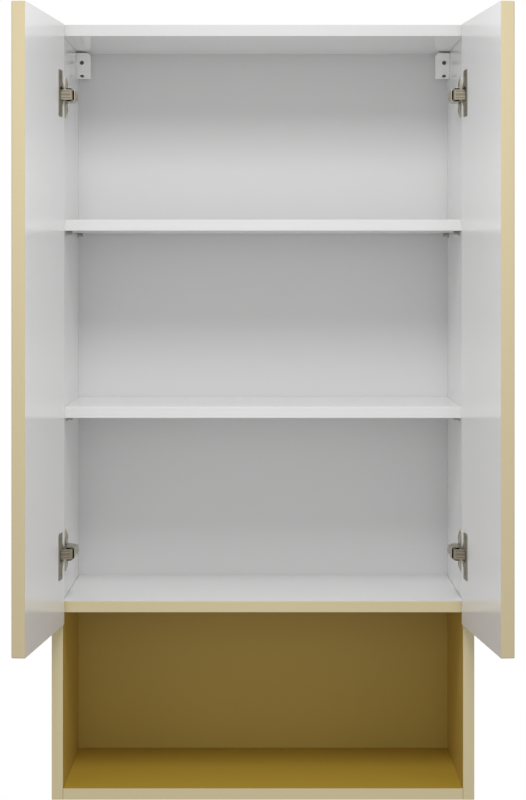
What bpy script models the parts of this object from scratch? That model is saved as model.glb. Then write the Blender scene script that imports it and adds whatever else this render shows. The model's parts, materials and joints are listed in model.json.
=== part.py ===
"""Wall cabinet: two doors on concealed hinges over an open niche.

Metres, +Z up. The cabinet hangs on a wall in the plane Y = 0 and faces -Y. The origin is
at the bottom of the cabinet, in the middle of its width. The doors stand open, as placed here.
"""

import math

import bmesh
import bpy
from mathutils import Matrix, Vector

# Carcass
CABINET_WIDTH = 0.600
CABINET_HEIGHT = 1.100
CARCASS_DEPTH = 0.300
BOARD = 0.016
EASED_EDGE = 0.0008
NICHE_HEIGHT = 0.250
FIT = 0.0003

# Backs, let into grooves
BACK_THICKNESS = 0.003
BACK_TO_WALL = 0.009
GROOVE_DEPTH = 0.006
BACK_SLACK = 0.0005

# Dowels in the ends of the fixed boards
DOWEL_RADIUS = 0.004
DOWEL_IN_SIDE = 0.010
DOWEL_IN_BOARD = 0.020
DOWEL_FROM_EDGE = 0.050

# Shelves and their pins
LOWER_ROOM = 0.2585
MIDDLE_ROOM = 0.2515
SHELF_SETBACK = 0.020
SHELF_REAR_GAP = 0.002
SHELF_END_GAP = 0.0005
PIN_RADIUS = 0.0025
PIN_IN_SIDE = 0.0085
PIN_REACH = 0.009
PIN_COLLAR_RADIUS = 0.004
PIN_COLLAR_WIDTH = 0.0015
PIN_SEAT = 0.0022
PIN_FROM_FRONT = 0.060
PIN_FROM_BACK = 0.030

# Doors
DOOR_THICKNESS = 0.018
DOOR_EASED_EDGE = 0.0012
DOOR_DROP = 0.016
DOOR_SIDE_REVEAL = 0.001
DOOR_CENTRE_GAP = 0.003
DOOR_GAP = 0.002
OPEN_ANGLE = math.radians(95.0)
PIVOT_FROM_EDGE = 0.0061
PIVOT_IN_DOOR = 0.011

# Hinge cup and flange, let into the door
HINGE_FROM_DOOR_END = 0.100
CUP_RADIUS = 0.0175
CUP_DEPTH = 0.0112
CUP_WALL = 0.0008
CUP_FROM_EDGE = 0.004
FLANGE_START = 0.018
FLANGE_WIDTH = 0.025
FLANGE_HEIGHT = 0.0676
FLANGE_THICKNESS = 0.0012
FLANGE_CORNER = 0.003
CUP_RIM = 0.0008
CUP_SCREW_SPREAD = 0.050
CUP_SCREW_RADIUS = 0.0016
CUP_SCREW_LENGTH = 0.009
CUP_SCREW_HEAD_RADIUS = 0.0036
CUP_SCREW_HEAD_HEIGHT = 0.0007

# Hinge arm, a channel open toward the side panel
ARM_HEIGHT = 0.0184
ARM_WALL = 0.0012
ARM_OUT = 0.018
ARM_CLEAR = 0.0035
ARM_NOSE = 0.006
ARM_TAIL = 0.058
ARM_WEB_START = 0.008
ARM_CORNER = 0.003
ARM_SCREW_RADIUS = 0.0040
ARM_SCREW_HEIGHT = 0.0008
ARM_SCREW_FRONT = 0.020
ARM_SCREW_REAR = 0.044

# Hinge link and the pin that carries it in the arm
LINK_PIN_OUT = 0.012
LINK_PIN_FORWARD = 0.0025
LINK_PIN_RADIUS = 0.0015
LINK_PIN_HEAD_RADIUS = 0.0024
LINK_PIN_HEAD = 0.0006
LINK_HEIGHT = 0.0136
LINK_TONGUE_HEIGHT = 0.0100
LINK_THICKNESS = 0.0016
LINK_EYE_RADIUS = 0.0030
LINK_REACH = 0.0083
LINK_KNEE_OUT = 0.0034
LINK_KNEE_RADIUS = 0.0030
RUN_CLEAR = 0.0003

# Hinge mounting plate, on the side panel
PLATE_FROM_FRONT = 0.037
PLATE_HEIGHT = 0.0615
PLATE_WING_WIDTH = 0.012
PLATE_WING_THICKNESS = 0.0028
PLATE_TIP_THICKNESS = 0.0012
PLATE_RIB_START = 0.022
PLATE_RIB_END = 0.055
PLATE_RIB_OUT = 0.0085
PLATE_SCREW_SPREAD = 0.042
PLATE_SCREW_RADIUS = 0.0020
PLATE_SCREW_LENGTH = 0.010
PLATE_SCREW_HEAD_RADIUS = 0.0040
PLATE_SCREW_HEAD_HEIGHT = 0.0012

# Hangers, in the top rear corners
HANGER_WIDTH = 0.022
HANGER_HEIGHT = 0.040
HANGER_DEPTH = 0.052
HANGER_BELOW_TOP = 0.0011
HANGER_SLANT_HEIGHT = 0.007
HANGER_SLANT_DEPTH = 0.008
HANGER_CHAMFER = 0.004
HANGER_SLOT_WIDTH = 0.0044
HANGER_SLOT_HEIGHT = 0.030
HANGER_SLOT_DEPTH = 0.031
HANGER_SCREW_FROM_SIDE = 0.0087
HANGER_SCREW_BELOW = 0.016
HANGER_SCREW_RADIUS = 0.0029
HANGER_SCREW_SUNK = 0.0015
HANGER_DEPTH_SCREW_LENGTH = 0.018
HANGER_LIFT_SCREW_LENGTH = 0.011
HANGER_SOCKET_RADIUS = 0.0015
HANGER_SOCKET_DEPTH = 0.0028
HANGER_PEG_RADIUS = 0.005
HANGER_PEG_LENGTH = 0.010
HANGER_PEG_SPREAD = 0.020
HOOK_THICKNESS = 0.003
HOOK_HEIGHT = 0.010
HOOK_BELOW = 0.017
HOOK_TOOTH = 0.003
HOOK_TOOTH_DROP = 0.010
HOOK_FROM_WALL = 0.0008
HOOK_TRAVEL = 0.005

# Facets of round pieces
FINE_SIDES = 32
BORE_SIDES = 16
SMALL_SIDES = 12
SOCKET_SIDES = 6
BEND_STEPS = 4

# Places worked out from the sizes above
SIDE_INNER = CABINET_WIDTH / 2 - BOARD
FRONT_Y = -CARCASS_DEPTH
DIVIDER_Z = BOARD + NICHE_HEIGHT
CUPBOARD_FLOOR_Z = DIVIDER_Z + BOARD
TOP_Z = CABINET_HEIGHT - BOARD
LOWER_SHELF_Z = CUPBOARD_FLOOR_Z + LOWER_ROOM
UPPER_SHELF_Z = LOWER_SHELF_Z + BOARD + MIDDLE_ROOM
BACK_FACE_Y = -(BACK_TO_WALL + BACK_THICKNESS)
DOOR_BOTTOM_Z = DIVIDER_Z - DOOR_DROP
DOOR_HEIGHT = CABINET_HEIGHT - DOOR_BOTTOM_Z
DOOR_WIDTH = CABINET_WIDTH / 2 - DOOR_SIDE_REVEAL - DOOR_CENTRE_GAP / 2
DOOR_MIDDLE_Z = DOOR_BOTTOM_Z + DOOR_HEIGHT / 2
HINGE_OFFSET = DOOR_HEIGHT / 2 - HINGE_FROM_DOOR_END
HINGE_LEVELS = {"upper": HINGE_OFFSET, "lower": -HINGE_OFFSET}
HANGER_TOP_Z = TOP_Z - HANGER_BELOW_TOP

# Hinge frame: X from the outer face of the side inward, Y from the carcass front rearward
PIVOT = Vector((DOOR_SIDE_REVEAL + PIVOT_FROM_EDGE, -(DOOR_GAP + PIVOT_IN_DOOR)))
LINK_PIN = Vector((BOARD + LINK_PIN_OUT, -LINK_PIN_FORWARD))
CUP_CENTRE_X = DOOR_SIDE_REVEAL + CUP_FROM_EDGE + CUP_RADIUS

SIDES = {"left": -1, "right": 1}


def clear_scene():
    """Empty the scene of every object."""
    for item in list(bpy.data.objects):
        bpy.data.objects.remove(item, do_unlink=True)


def make_collection(name):
    """Add a collection to the scene."""
    collection = bpy.data.collections.new(name)
    bpy.context.scene.collection.children.link(collection)
    return collection


def make_material(name, colour, roughness, metallic):
    """Make a plain surface of one colour."""
    surface = bpy.data.materials.new(name)
    surface.use_nodes = True
    shader = surface.node_tree.nodes["Principled BSDF"]
    shader.inputs["Base Color"].default_value = (*colour, 1.0)
    shader.inputs["Roughness"].default_value = roughness
    shader.inputs["Metallic"].default_value = metallic
    return surface


def make_empty(name, collection, location, rotation=(0.0, 0.0, 0.0)):
    """Place a named frame that pieces are parented to."""
    frame = bpy.data.objects.new(name, None)
    frame.location = location
    frame.rotation_euler = rotation
    frame.empty_display_size = 0.02
    collection.objects.link(frame)
    return frame


def add_piece(name, mesh, surface, collection, location=(0.0, 0.0, 0.0), parent=None):
    """Add one finished piece of the cabinet."""
    piece = bpy.data.objects.new(name, mesh)
    if mesh.users == 1:
        mesh.name = name
        mesh.materials.clear()
        mesh.materials.append(surface)
    piece.location = location
    piece.parent = parent
    collection.objects.link(piece)
    return piece


def add_tool(name, mesh, location=(0.0, 0.0, 0.0), parent=None):
    """Add a cutter, or a shape that is joined to a piece."""
    tool = bpy.data.objects.new(name, mesh)
    tool.location = location
    tool.parent = parent
    tool.hide_render = True
    tool.display_type = "WIRE"
    bpy.data.collections["cutters"].objects.link(tool)
    return tool


def apply_tool(piece, tool, operation):
    """Cut a piece with a tool, or join the tool to it."""
    step = piece.modifiers.new(tool.name, "BOOLEAN")
    step.object = tool
    step.operation = operation
    step.solver = "EXACT"


def bake(base, tools=()):
    """Return the mesh that a base and its tools give, and remove them."""
    bpy.context.view_layer.update()
    evaluated = base.evaluated_get(bpy.context.evaluated_depsgraph_get())
    mesh = bpy.data.meshes.new_from_object(evaluated)
    for item in (base, *tools):
        bpy.data.objects.remove(item, do_unlink=True)
    work = bmesh.new()
    work.from_mesh(mesh)
    bmesh.ops.remove_doubles(work, verts=work.verts, dist=0.000001)
    work.to_mesh(mesh)
    work.free()
    smooth(mesh)
    return mesh


def build_shape(name, base_mesh, joined=(), cut=()):
    """Join and cut (mesh, location) tools on a base mesh, and return the result."""
    base = add_tool(name, base_mesh)
    tools = []
    for operation, shapes in (("UNION", joined), ("DIFFERENCE", cut)):
        for number, (mesh, location) in enumerate(shapes):
            tool = add_tool(f"{name}_{operation.lower()}_{number}", mesh, location)
            apply_tool(base, tool, operation)
            tools.append(tool)
    return bake(base, tools)


def smooth(mesh):
    """Shade the round stretches smooth and keep the corners sharp."""
    mesh.shade_smooth()
    mesh.set_sharp_from_angle(angle=math.radians(35.0))


def mirrored(mesh):
    """Return a copy of a mesh for the other hand."""
    work = bmesh.new()
    work.from_mesh(mesh)
    bmesh.ops.scale(work, vec=(-1.0, 1.0, 1.0), verts=work.verts)
    bmesh.ops.reverse_faces(work, faces=work.faces)
    copy = bpy.data.meshes.new(mesh.name)
    work.to_mesh(copy)
    work.free()
    smooth(copy)
    return copy


def box_mesh(size, eased=0.0, eased_along="XYZ"):
    """Return a board centred on its origin, with the edges along the named axes eased."""
    work = bmesh.new()
    bmesh.ops.create_cube(work, size=1.0)
    bmesh.ops.scale(work, vec=size, verts=work.verts)
    if eased:
        axes = ["XYZ".index(letter) for letter in eased_along]
        edges = [edge for edge in work.edges if main_axis(edge) in axes]
        bmesh.ops.bevel(work, geom=edges, offset=eased, segments=2, profile=0.5, affect="EDGES")
    mesh = bpy.data.meshes.new("box")
    work.to_mesh(mesh)
    work.free()
    return mesh


def main_axis(edge):
    """Return the number of the axis that an edge runs along."""
    run = edge.verts[1].co - edge.verts[0].co
    return max(range(3), key=lambda axis: abs(run[axis]))


def rod_mesh(radius, length, axis="Z", sides=SMALL_SIDES, end_radius=None):
    """Return a round rod, or a cone, centred on its origin along one axis."""
    turns = {"X": Matrix.Rotation(math.pi / 2, 4, "Y"),
             "Y": Matrix.Rotation(-math.pi / 2, 4, "X"),
             "Z": Matrix.Identity(4)}
    work = bmesh.new()
    bmesh.ops.create_cone(work, cap_ends=True, segments=sides, radius1=radius,
                          radius2=radius if end_radius is None else end_radius,
                          depth=length, matrix=turns[axis])
    mesh = bpy.data.meshes.new("rod")
    work.to_mesh(mesh)
    work.free()
    return mesh


def turned_mesh(profile, sides=SMALL_SIDES):
    """Return a profile of (radius, height) points, top to bottom, turned about Z."""
    outline = bpy.data.meshes.new("profile")
    points = [(radius, 0.0, height) for radius, height in profile]
    outline.from_pydata(points, [(n, n + 1) for n in range(len(points) - 1)], [])
    blank = add_tool("turned", outline)
    turn = blank.modifiers.new("turn", "SCREW")
    turn.steps = sides
    turn.render_steps = sides
    turn.use_merge_vertices = True
    turn.merge_threshold = 0.00001
    return bake(blank)


def outline_mesh(points, thickness):
    """Return a closed flat outline in XY, given thickness about Z = 0."""
    curve = bpy.data.curves.new("outline", "CURVE")
    curve.dimensions = "2D"
    curve.fill_mode = "BOTH"
    curve.extrude = thickness / 2
    spline = curve.splines.new("POLY")
    spline.points.add(len(points) - 1)
    for point, (x, y) in zip(spline.points, points):
        point.co = (x, y, 0.0, 1.0)
    spline.use_cyclic_u = True
    return bake(add_tool("outline", curve))


def turned_about(mesh, turn):
    """Turn a mesh in place by a rotation matrix and return it."""
    mesh.transform(turn)
    return mesh


def arc(centre, radius, start, end, steps):
    """Return points along an arc, angles in radians."""
    angles = [start + (end - start) * n / steps for n in range(steps + 1)]
    return [(centre[0] + radius * math.cos(a), centre[1] + radius * math.sin(a)) for a in angles]


def rounded_rectangle(low, high, radius, steps=4):
    """Return a rectangle's outline with rounded corners."""
    corners = ((high[0] - radius, high[1] - radius, 0.0), (low[0] + radius, high[1] - radius, 0.5),
               (low[0] + radius, low[1] + radius, 1.0), (high[0] - radius, low[1] + radius, 1.5))
    points = []
    for x, y, quarter in corners:
        points += arc((x, y), radius, quarter * math.pi, (quarter + 0.5) * math.pi, steps)
    return points


def build_side_panels(surface, collection, root):
    """Build the two sides, with their grooves and the holes for what they carry."""
    size = (BOARD, CARCASS_DEPTH, CABINET_HEIGHT)
    for side, sign in SIDES.items():
        place = (sign * (CABINET_WIDTH / 2 - BOARD / 2), FRONT_Y / 2, CABINET_HEIGHT / 2)
        panel = add_piece(f"side_panel_{side}", box_mesh(size, EASED_EDGE, "Z"), surface,
                          collection, place, root)
        apply_tool(panel, add_groove(side, sign, root), "DIFFERENCE")
        for number, (hole_place, hole) in enumerate(side_holes(sign)):
            tool = add_tool(f"side_{side}_hole_{number}", hole, hole_place, root)
            apply_tool(panel, tool, "DIFFERENCE")


def add_groove(side, sign, root):
    """Return the cutter of a side's groove for the backs."""
    depth = GROOVE_DEPTH + BOARD / 2
    size = (depth, BACK_THICKNESS + 2 * FIT, CABINET_HEIGHT + BOARD)
    place = (sign * (SIDE_INNER + GROOVE_DEPTH - depth / 2),
             BACK_FACE_Y + BACK_THICKNESS / 2, CABINET_HEIGHT / 2)
    return add_tool(f"side_{side}_groove", box_mesh(size), place, root)


def side_holes(sign):
    """Return (place, cutter) for each hole in a side's inner face."""
    holes = []
    for z in fixed_board_levels().values():
        for y in dowel_rows():
            holes.append((y, z, DOWEL_RADIUS, DOWEL_IN_SIDE))
    for z in shelf_levels().values():
        for y in pin_rows().values():
            holes.append((y, pin_axis_z(z), PIN_RADIUS, PIN_IN_SIDE))
    for level in HINGE_LEVELS.values():
        for end in (-0.5, 0.5):
            z = DOOR_MIDDLE_Z + level + end * PLATE_SCREW_SPREAD
            holes.append((FRONT_Y + PLATE_FROM_FRONT, z, PLATE_SCREW_RADIUS, PLATE_SCREW_LENGTH))
    for y, z in hanger_pegs():
        holes.append((y, z, HANGER_PEG_RADIUS, HANGER_PEG_LENGTH))
    return [hole_cutter(sign, *hole) for hole in holes]


def hole_cutter(sign, y, z, radius, depth):
    """Return (place, cutter) of one hole, a clearance wider and deeper than its pin."""
    length = 2 * (depth + FIT)
    return (sign * SIDE_INNER, y, z), rod_mesh(radius + FIT, length, "X")


def fixed_board_levels():
    """Return the middle height of each fixed board."""
    return {"top": TOP_Z + BOARD / 2, "divider": DIVIDER_Z + BOARD / 2, "bottom": BOARD / 2}


def shelf_levels():
    """Return the underside height of each shelf."""
    return {"upper": UPPER_SHELF_Z, "lower": LOWER_SHELF_Z}


def dowel_rows():
    """Return the depths of the two dowels in each joint."""
    return (FRONT_Y + DOWEL_FROM_EDGE, -DOWEL_FROM_EDGE)


def pin_rows():
    """Return the depths of the front and rear shelf pins."""
    return {"front": FRONT_Y + PIN_FROM_FRONT, "rear": BACK_FACE_Y - PIN_FROM_BACK}


def pin_axis_z(shelf_z):
    """Return the height of a pin's axis under a shelf."""
    return shelf_z - FIT - PIN_SEAT


def hanger_pegs():
    """Return the (depth, height) of the two pegs of a hanger."""
    middle_y = BACK_FACE_Y - HANGER_DEPTH / 2
    middle_z = HANGER_TOP_Z - HANGER_HEIGHT / 2
    half = HANGER_PEG_SPREAD / 2
    return ((middle_y - half, middle_z + half), (middle_y + half, middle_z - half))


def build_fixed_boards(surfaces, collection, root):
    """Build the top, divider and bottom between the sides, with grooves and dowel holes."""
    length = 2 * (SIDE_INNER - FIT)
    grooves = {"top": (-1,), "divider": (-1, 1), "bottom": (1,)}
    for name, z in fixed_board_levels().items():
        board = add_piece(f"{name}_panel", box_mesh((length, CARCASS_DEPTH, BOARD), EASED_EDGE, "X"),
                          surfaces[name], collection, (0.0, FRONT_Y / 2, z), root)
        for face in grooves[name]:
            depth = GROOVE_DEPTH + BOARD / 4
            place = (0.0, BACK_FACE_Y + BACK_THICKNESS / 2,
                     z + face * (BOARD / 2 - GROOVE_DEPTH + depth / 2))
            cutter = box_mesh((length + BOARD, BACK_THICKNESS + 2 * FIT, depth))
            apply_tool(board, add_tool(f"{name}_groove_{face}", cutter, place, root), "DIFFERENCE")
        for side, sign in SIDES.items():
            for number, y in enumerate(dowel_rows()):
                hole = rod_mesh(DOWEL_RADIUS + FIT, 2 * (DOWEL_IN_BOARD + FIT), "X")
                place = (sign * (SIDE_INNER - FIT), y, z)
                tool = add_tool(f"{name}_{side}_dowel_hole_{number}", hole, place, root)
                apply_tool(board, tool, "DIFFERENCE")


def build_dowels(surface, collection, root):
    """Build the dowels that join the fixed boards to the sides."""
    length = DOWEL_IN_SIDE + DOWEL_IN_BOARD
    ease = DOWEL_RADIUS / 4
    half = length / 2
    profile = [(0.0, half), (DOWEL_RADIUS - ease, half), (DOWEL_RADIUS, half - ease),
               (DOWEL_RADIUS, ease - half), (DOWEL_RADIUS - ease, -half), (0.0, -half)]
    mesh = turned_about(turned_mesh(profile), Matrix.Rotation(math.pi / 2, 4, "Y"))
    for name, z in fixed_board_levels().items():
        for side, sign in SIDES.items():
            for row, y in zip(("front", "rear"), dowel_rows()):
                x = sign * (SIDE_INNER + DOWEL_IN_SIDE - half)
                add_piece(f"dowel_{name}_{side}_{row}", mesh, surface, collection, (x, y, z), root)


def build_backs(surfaces, collection, root):
    """Build the two thin backs, with slots for the hooks in the upper one."""
    tongue = GROOVE_DEPTH - BACK_SLACK
    spans = {"back_panel": (CUPBOARD_FLOOR_Z, TOP_Z), "niche_back_panel": (BOARD, DIVIDER_Z)}
    for name, (low, high) in spans.items():
        size = (2 * (SIDE_INNER + tongue), BACK_THICKNESS, high - low + 2 * tongue)
        place = (0.0, BACK_FACE_Y + BACK_THICKNESS / 2, (low + high) / 2)
        add_piece(name, box_mesh(size), surfaces[name], collection, place, root)
    back = bpy.data.objects["back_panel"]
    for side, sign in SIDES.items():
        place = (sign * (SIDE_INNER - HANGER_WIDTH / 2), BACK_FACE_Y, hanger_slot_z())
        cutter = box_mesh((HANGER_SLOT_WIDTH, 4 * BACK_THICKNESS, HANGER_SLOT_HEIGHT))
        apply_tool(back, add_tool(f"back_slot_{side}", cutter, place, root), "DIFFERENCE")


def hanger_slot_z():
    """Return the middle height of the slot that a hook slides in."""
    return HANGER_TOP_Z - HOOK_BELOW - (HOOK_TOOTH_DROP - HOOK_TRAVEL) / 2


def build_shelves(surface, collection, root):
    """Build the two loose shelves."""
    depth = CARCASS_DEPTH + BACK_FACE_Y - SHELF_SETBACK - SHELF_REAR_GAP
    size = (2 * (SIDE_INNER - SHELF_END_GAP), depth, BOARD)
    y = FRONT_Y + SHELF_SETBACK + depth / 2
    for name, z in shelf_levels().items():
        add_piece(f"{name}_shelf", box_mesh(size, EASED_EDGE, "X"), surface, collection,
                  (0.0, y, z + BOARD / 2), root)


def build_shelf_pins(surface, collection, root):
    """Build the pins that carry the shelves: a round peg, a collar and a flat seat on top."""
    length = PIN_IN_SIDE + PIN_REACH
    collar_x = FIT + PIN_COLLAR_WIDTH / 2
    seat = box_mesh((length, 4 * PIN_COLLAR_RADIUS, 2 * PIN_COLLAR_RADIUS))
    mesh = build_shape(
        "shelf_pin", turned_about(rod_mesh(PIN_RADIUS, length, "X"),
                                  Matrix.Translation(((PIN_REACH - PIN_IN_SIDE) / 2, 0.0, 0.0))),
        joined=[(rod_mesh(PIN_COLLAR_RADIUS, PIN_COLLAR_WIDTH, "X"), (collar_x, 0.0, 0.0))],
        cut=[(seat, (FIT / 2 + length / 2, 0.0, PIN_SEAT + PIN_COLLAR_RADIUS))])
    meshes = {"left": mesh, "right": mirrored(mesh)}
    for shelf, z in shelf_levels().items():
        for side, sign in SIDES.items():
            for row, y in pin_rows().items():
                add_piece(f"shelf_pin_{shelf}_{side}_{row}", meshes[side], surface, collection,
                          (sign * SIDE_INNER, y, pin_axis_z(z)), root)


def door_frames(collection, root):
    """Place the vertical pivot of each door, turned to the open door."""
    x = CABINET_WIDTH / 2 - PIVOT.x
    y = FRONT_Y + PIVOT.y
    left = make_empty("left_door_pivot", collection, (-x, y, DOOR_MIDDLE_Z), (0.0, 0.0, -OPEN_ANGLE))
    right = make_empty("right_door_pivot", collection, (x, y, DOOR_MIDDLE_Z),
                       (0.0, math.pi, OPEN_ANGLE))
    for frame in (left, right):
        frame.parent = root
    return {"left": left, "right": right}


def in_door(x, y, z=0.0):
    """Return a point of the shut door's hinge frame as seen from its pivot."""
    return (x - PIVOT.x, y - PIVOT.y, z)


def build_doors(surface, collection, frames):
    """Build the doors, with the pockets for the hinge cups and their screws."""
    size = (DOOR_WIDTH, DOOR_THICKNESS, DOOR_HEIGHT)
    middle = in_door(DOOR_SIDE_REVEAL + DOOR_WIDTH / 2, -(DOOR_GAP + DOOR_THICKNESS / 2))
    pocket = rod_mesh(CUP_RADIUS + FIT, 2 * (CUP_DEPTH + FIT), "Y", FINE_SIDES)
    pilot = rod_mesh(CUP_SCREW_RADIUS + FIT, 2 * (CUP_SCREW_LENGTH + FIT), "Y")
    for side, frame in frames.items():
        door = add_piece(f"door_{side}", box_mesh(size, DOOR_EASED_EDGE), surface, collection,
                         middle, frame)
        for level, z in HINGE_LEVELS.items():
            holes = [(pocket, in_door(CUP_CENTRE_X, -DOOR_GAP, z))]
            holes += [(pilot, in_door(cup_screw_x(), -DOOR_GAP, z + end * CUP_SCREW_SPREAD))
                      for end in (-0.5, 0.5)]
            for number, (mesh, place) in enumerate(holes):
                tool = add_tool(f"door_{side}_{level}_hole_{number}", mesh, place, frame)
                apply_tool(door, tool, "DIFFERENCE")


def cup_screw_x():
    """Return how far the cup screws stand from the outer face of the side."""
    return DOOR_SIDE_REVEAL + FLANGE_START + FLANGE_WIDTH / 2


def hinge_cup_mesh():
    """Return a cup with its rim, flange and screws, centred on the cup at the door's face."""
    flange_low = DOOR_SIDE_REVEAL + FLANGE_START - CUP_CENTRE_X
    outline = rounded_rectangle((flange_low, -FLANGE_HEIGHT / 2),
                                (flange_low + FLANGE_WIDTH, FLANGE_HEIGHT / 2), FLANGE_CORNER)
    flange = turned_about(outline_mesh(outline, FLANGE_THICKNESS),
                          Matrix.Rotation(math.pi / 2, 4, "X"))
    flange_y = FIT + FLANGE_THICKNESS / 2
    screw_x = cup_screw_x() - CUP_CENTRE_X
    screw_length = CUP_SCREW_LENGTH + FIT + FLANGE_THICKNESS / 2
    shank = rod_mesh(CUP_SCREW_RADIUS, screw_length, "Y")
    head = rod_mesh(CUP_SCREW_HEAD_RADIUS, 2 * CUP_SCREW_HEAD_HEIGHT, "Y")
    joined = [(rod_mesh(CUP_RADIUS + CUP_RIM, FLANGE_THICKNESS, "Y", FINE_SIDES), (0, flange_y, 0)),
              (rod_mesh(CUP_RADIUS, CUP_DEPTH + flange_y, "Y", FINE_SIDES),
               (0, (flange_y - CUP_DEPTH) / 2, 0))]
    for end in (-0.5, 0.5):
        z = end * CUP_SCREW_SPREAD
        joined.append((shank, (screw_x, screw_length / 2 - CUP_SCREW_LENGTH, z)))
        joined.append((head, (screw_x, FIT + FLANGE_THICKNESS, z)))
    hollow_depth = CUP_DEPTH - CUP_WALL
    hollow = rod_mesh(CUP_RADIUS - CUP_WALL, hollow_depth + 2 * flange_y, "Y", FINE_SIDES)
    flange.transform(Matrix.Translation((0.0, flange_y, 0.0)))
    return build_shape("hinge_cup", flange, joined,
                       [(hollow, (0, (2 * flange_y - hollow_depth) / 2, 0))])


def hinge_arm_mesh():
    """Return a channel with two cheeks, a web and two adjusting screws, in the hinge frame."""
    low_x = BOARD + ARM_CLEAR
    high_x = BOARD + ARM_OUT
    cheek_points = rounded_rectangle((low_x, -ARM_NOSE), (high_x, ARM_TAIL), ARM_CORNER)
    block = outline_mesh(cheek_points, ARM_HEIGHT)
    inner_height = ARM_HEIGHT - 2 * ARM_WALL
    length = ARM_NOSE + ARM_TAIL
    channel = box_mesh((high_x - ARM_WALL - low_x + BOARD, 2 * length, inner_height))
    nose_gap = box_mesh((BOARD * 2, 2 * (ARM_WEB_START + ARM_NOSE), inner_height))
    screw = rod_mesh(ARM_SCREW_RADIUS, ARM_WALL + 2 * ARM_SCREW_HEIGHT, "X")
    bore = rod_mesh(LINK_PIN_RADIUS + FIT, 2 * ARM_HEIGHT)
    return build_shape(
        "hinge_arm", block,
        [(screw, (high_x - ARM_WALL / 2, y, 0)) for y in (ARM_SCREW_FRONT, ARM_SCREW_REAR)],
        [(channel, ((high_x - ARM_WALL + low_x - BOARD) / 2, 0, 0)),
         (nose_gap, (high_x, -ARM_NOSE, 0)), (bore, (LINK_PIN.x, LINK_PIN.y, 0))])


def hinge_plate_mesh():
    """Return a plate with a rib for the arm, two tapered wings and two screws."""
    base_x = BOARD + FIT
    rib_height = ARM_HEIGHT - 2 * ARM_WALL - 2 * FIT
    rib_length = PLATE_RIB_END - PLATE_RIB_START
    rib = box_mesh((PLATE_RIB_OUT - FIT, rib_length, rib_height), EASED_EDGE, "Y")
    rib.transform(Matrix.Translation((BOARD + (PLATE_RIB_OUT + FIT) / 2,
                                      (PLATE_RIB_START + PLATE_RIB_END) / 2, 0)))
    half = PLATE_HEIGHT / 2
    body_half = ARM_HEIGHT / 2
    tip = base_x + PLATE_TIP_THICKNESS
    top = base_x + PLATE_WING_THICKNESS
    profile = [(base_x, -half), (tip, -half), (top, -body_half), (top, body_half),
               (tip, half), (base_x, half)]
    wings = turned_about(outline_mesh(profile, PLATE_WING_WIDTH), Matrix.Rotation(math.pi / 2, 4, "X"))
    joined = [(wings, (0, PLATE_FROM_FRONT, 0))]
    screw_length = PLATE_SCREW_LENGTH + PLATE_WING_THICKNESS
    head_x = base_x + PLATE_WING_THICKNESS / 2
    for end in (-0.5, 0.5):
        z = end * PLATE_SCREW_SPREAD
        joined.append((rod_mesh(PLATE_SCREW_RADIUS, screw_length, "X"),
                       (BOARD - PLATE_SCREW_LENGTH + screw_length / 2, PLATE_FROM_FRONT, z)))
        joined.append((rod_mesh(PLATE_SCREW_HEAD_RADIUS, PLATE_WING_THICKNESS, "X"),
                       (head_x + PLATE_SCREW_HEAD_HEIGHT, PLATE_FROM_FRONT, z)))
    return build_shape("hinge_plate", rib, joined)


def link_tip():
    """Return where the link's far end lies in the cup of the open door, in the hinge frame."""
    from_pivot = LINK_PIN - PIVOT
    angle = math.atan2(from_pivot.y, from_pivot.x) - OPEN_ANGLE / 2
    return PIVOT + LINK_REACH * Vector((math.cos(angle), math.sin(angle)))


def link_points():
    """Return the middle line of the link, from its pin round a knee and into the cup."""
    tip = link_tip()
    outward = Vector((math.sin(OPEN_ANGLE), math.cos(OPEN_ANGLE)))
    face = PIVOT + outward * PIVOT_IN_DOOR
    stand_off = (face - tip).dot(outward) + LINK_KNEE_OUT
    knee = tip + outward * stand_off
    toward_pin = (LINK_PIN - knee).normalized()
    start = knee - outward * LINK_KNEE_RADIUS
    end = knee + toward_pin * LINK_KNEE_RADIUS
    bend = []
    for n in range(1, BEND_STEPS):
        t = n / BEND_STEPS
        bend.append(start * (1 - t) ** 2 + knee * (2 * t * (1 - t)) + end * t ** 2)
    return [LINK_PIN, end, *reversed(bend), start, tip]


def strip_outline(points, half):
    """Return the outline of a strip that follows a line, with a half-round far end."""
    ways = [(b - a).normalized() for a, b in zip(points, points[1:])]
    normals = []
    for n in range(len(points)):
        before = ways[max(n - 1, 0)]
        after = ways[min(n, len(ways) - 1)]
        mean = (before + after).normalized()
        normals.append(Vector((-mean.y, mean.x)) / max(mean.dot(after), 0.5))
    left = [p + n * half for p, n in zip(points, normals)]
    right = [p - n * half for p, n in zip(points, normals)]
    tip_angle = math.atan2(normals[-1].y, normals[-1].x)
    cap = arc(points[-1], half, tip_angle, tip_angle - math.pi, 6)[1:-1]
    return [tuple(p) for p in left] + cap + [tuple(p) for p in reversed(right)]


def hinge_link_mesh():
    """Return the bent link with the eye that turns on its pin, centred on that pin."""
    points = [point - LINK_PIN for point in link_points()]
    strip = outline_mesh(strip_outline(points, LINK_THICKNESS / 2), LINK_HEIGHT)
    eye = rod_mesh(LINK_EYE_RADIUS, LINK_HEIGHT, sides=BORE_SIDES)
    bore = rod_mesh(LINK_PIN_RADIUS + RUN_CLEAR, 2 * LINK_HEIGHT)
    tip = points[-1]
    trim_height = (LINK_HEIGHT - LINK_TONGUE_HEIGHT) / 2
    trim = box_mesh((2 * CUP_RADIUS, 2 * CUP_RADIUS, 2 * trim_height))
    trim_x = points[-2].x - CUP_RADIUS
    cuts = [(bore, (0, 0, 0))]
    for end in (-1, 1):
        cuts.append((trim, (trim_x, tip.y, end * LINK_HEIGHT / 2)))
    return build_shape("hinge_link", strip, [(eye, (0, 0, 0))], cuts)


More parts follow.
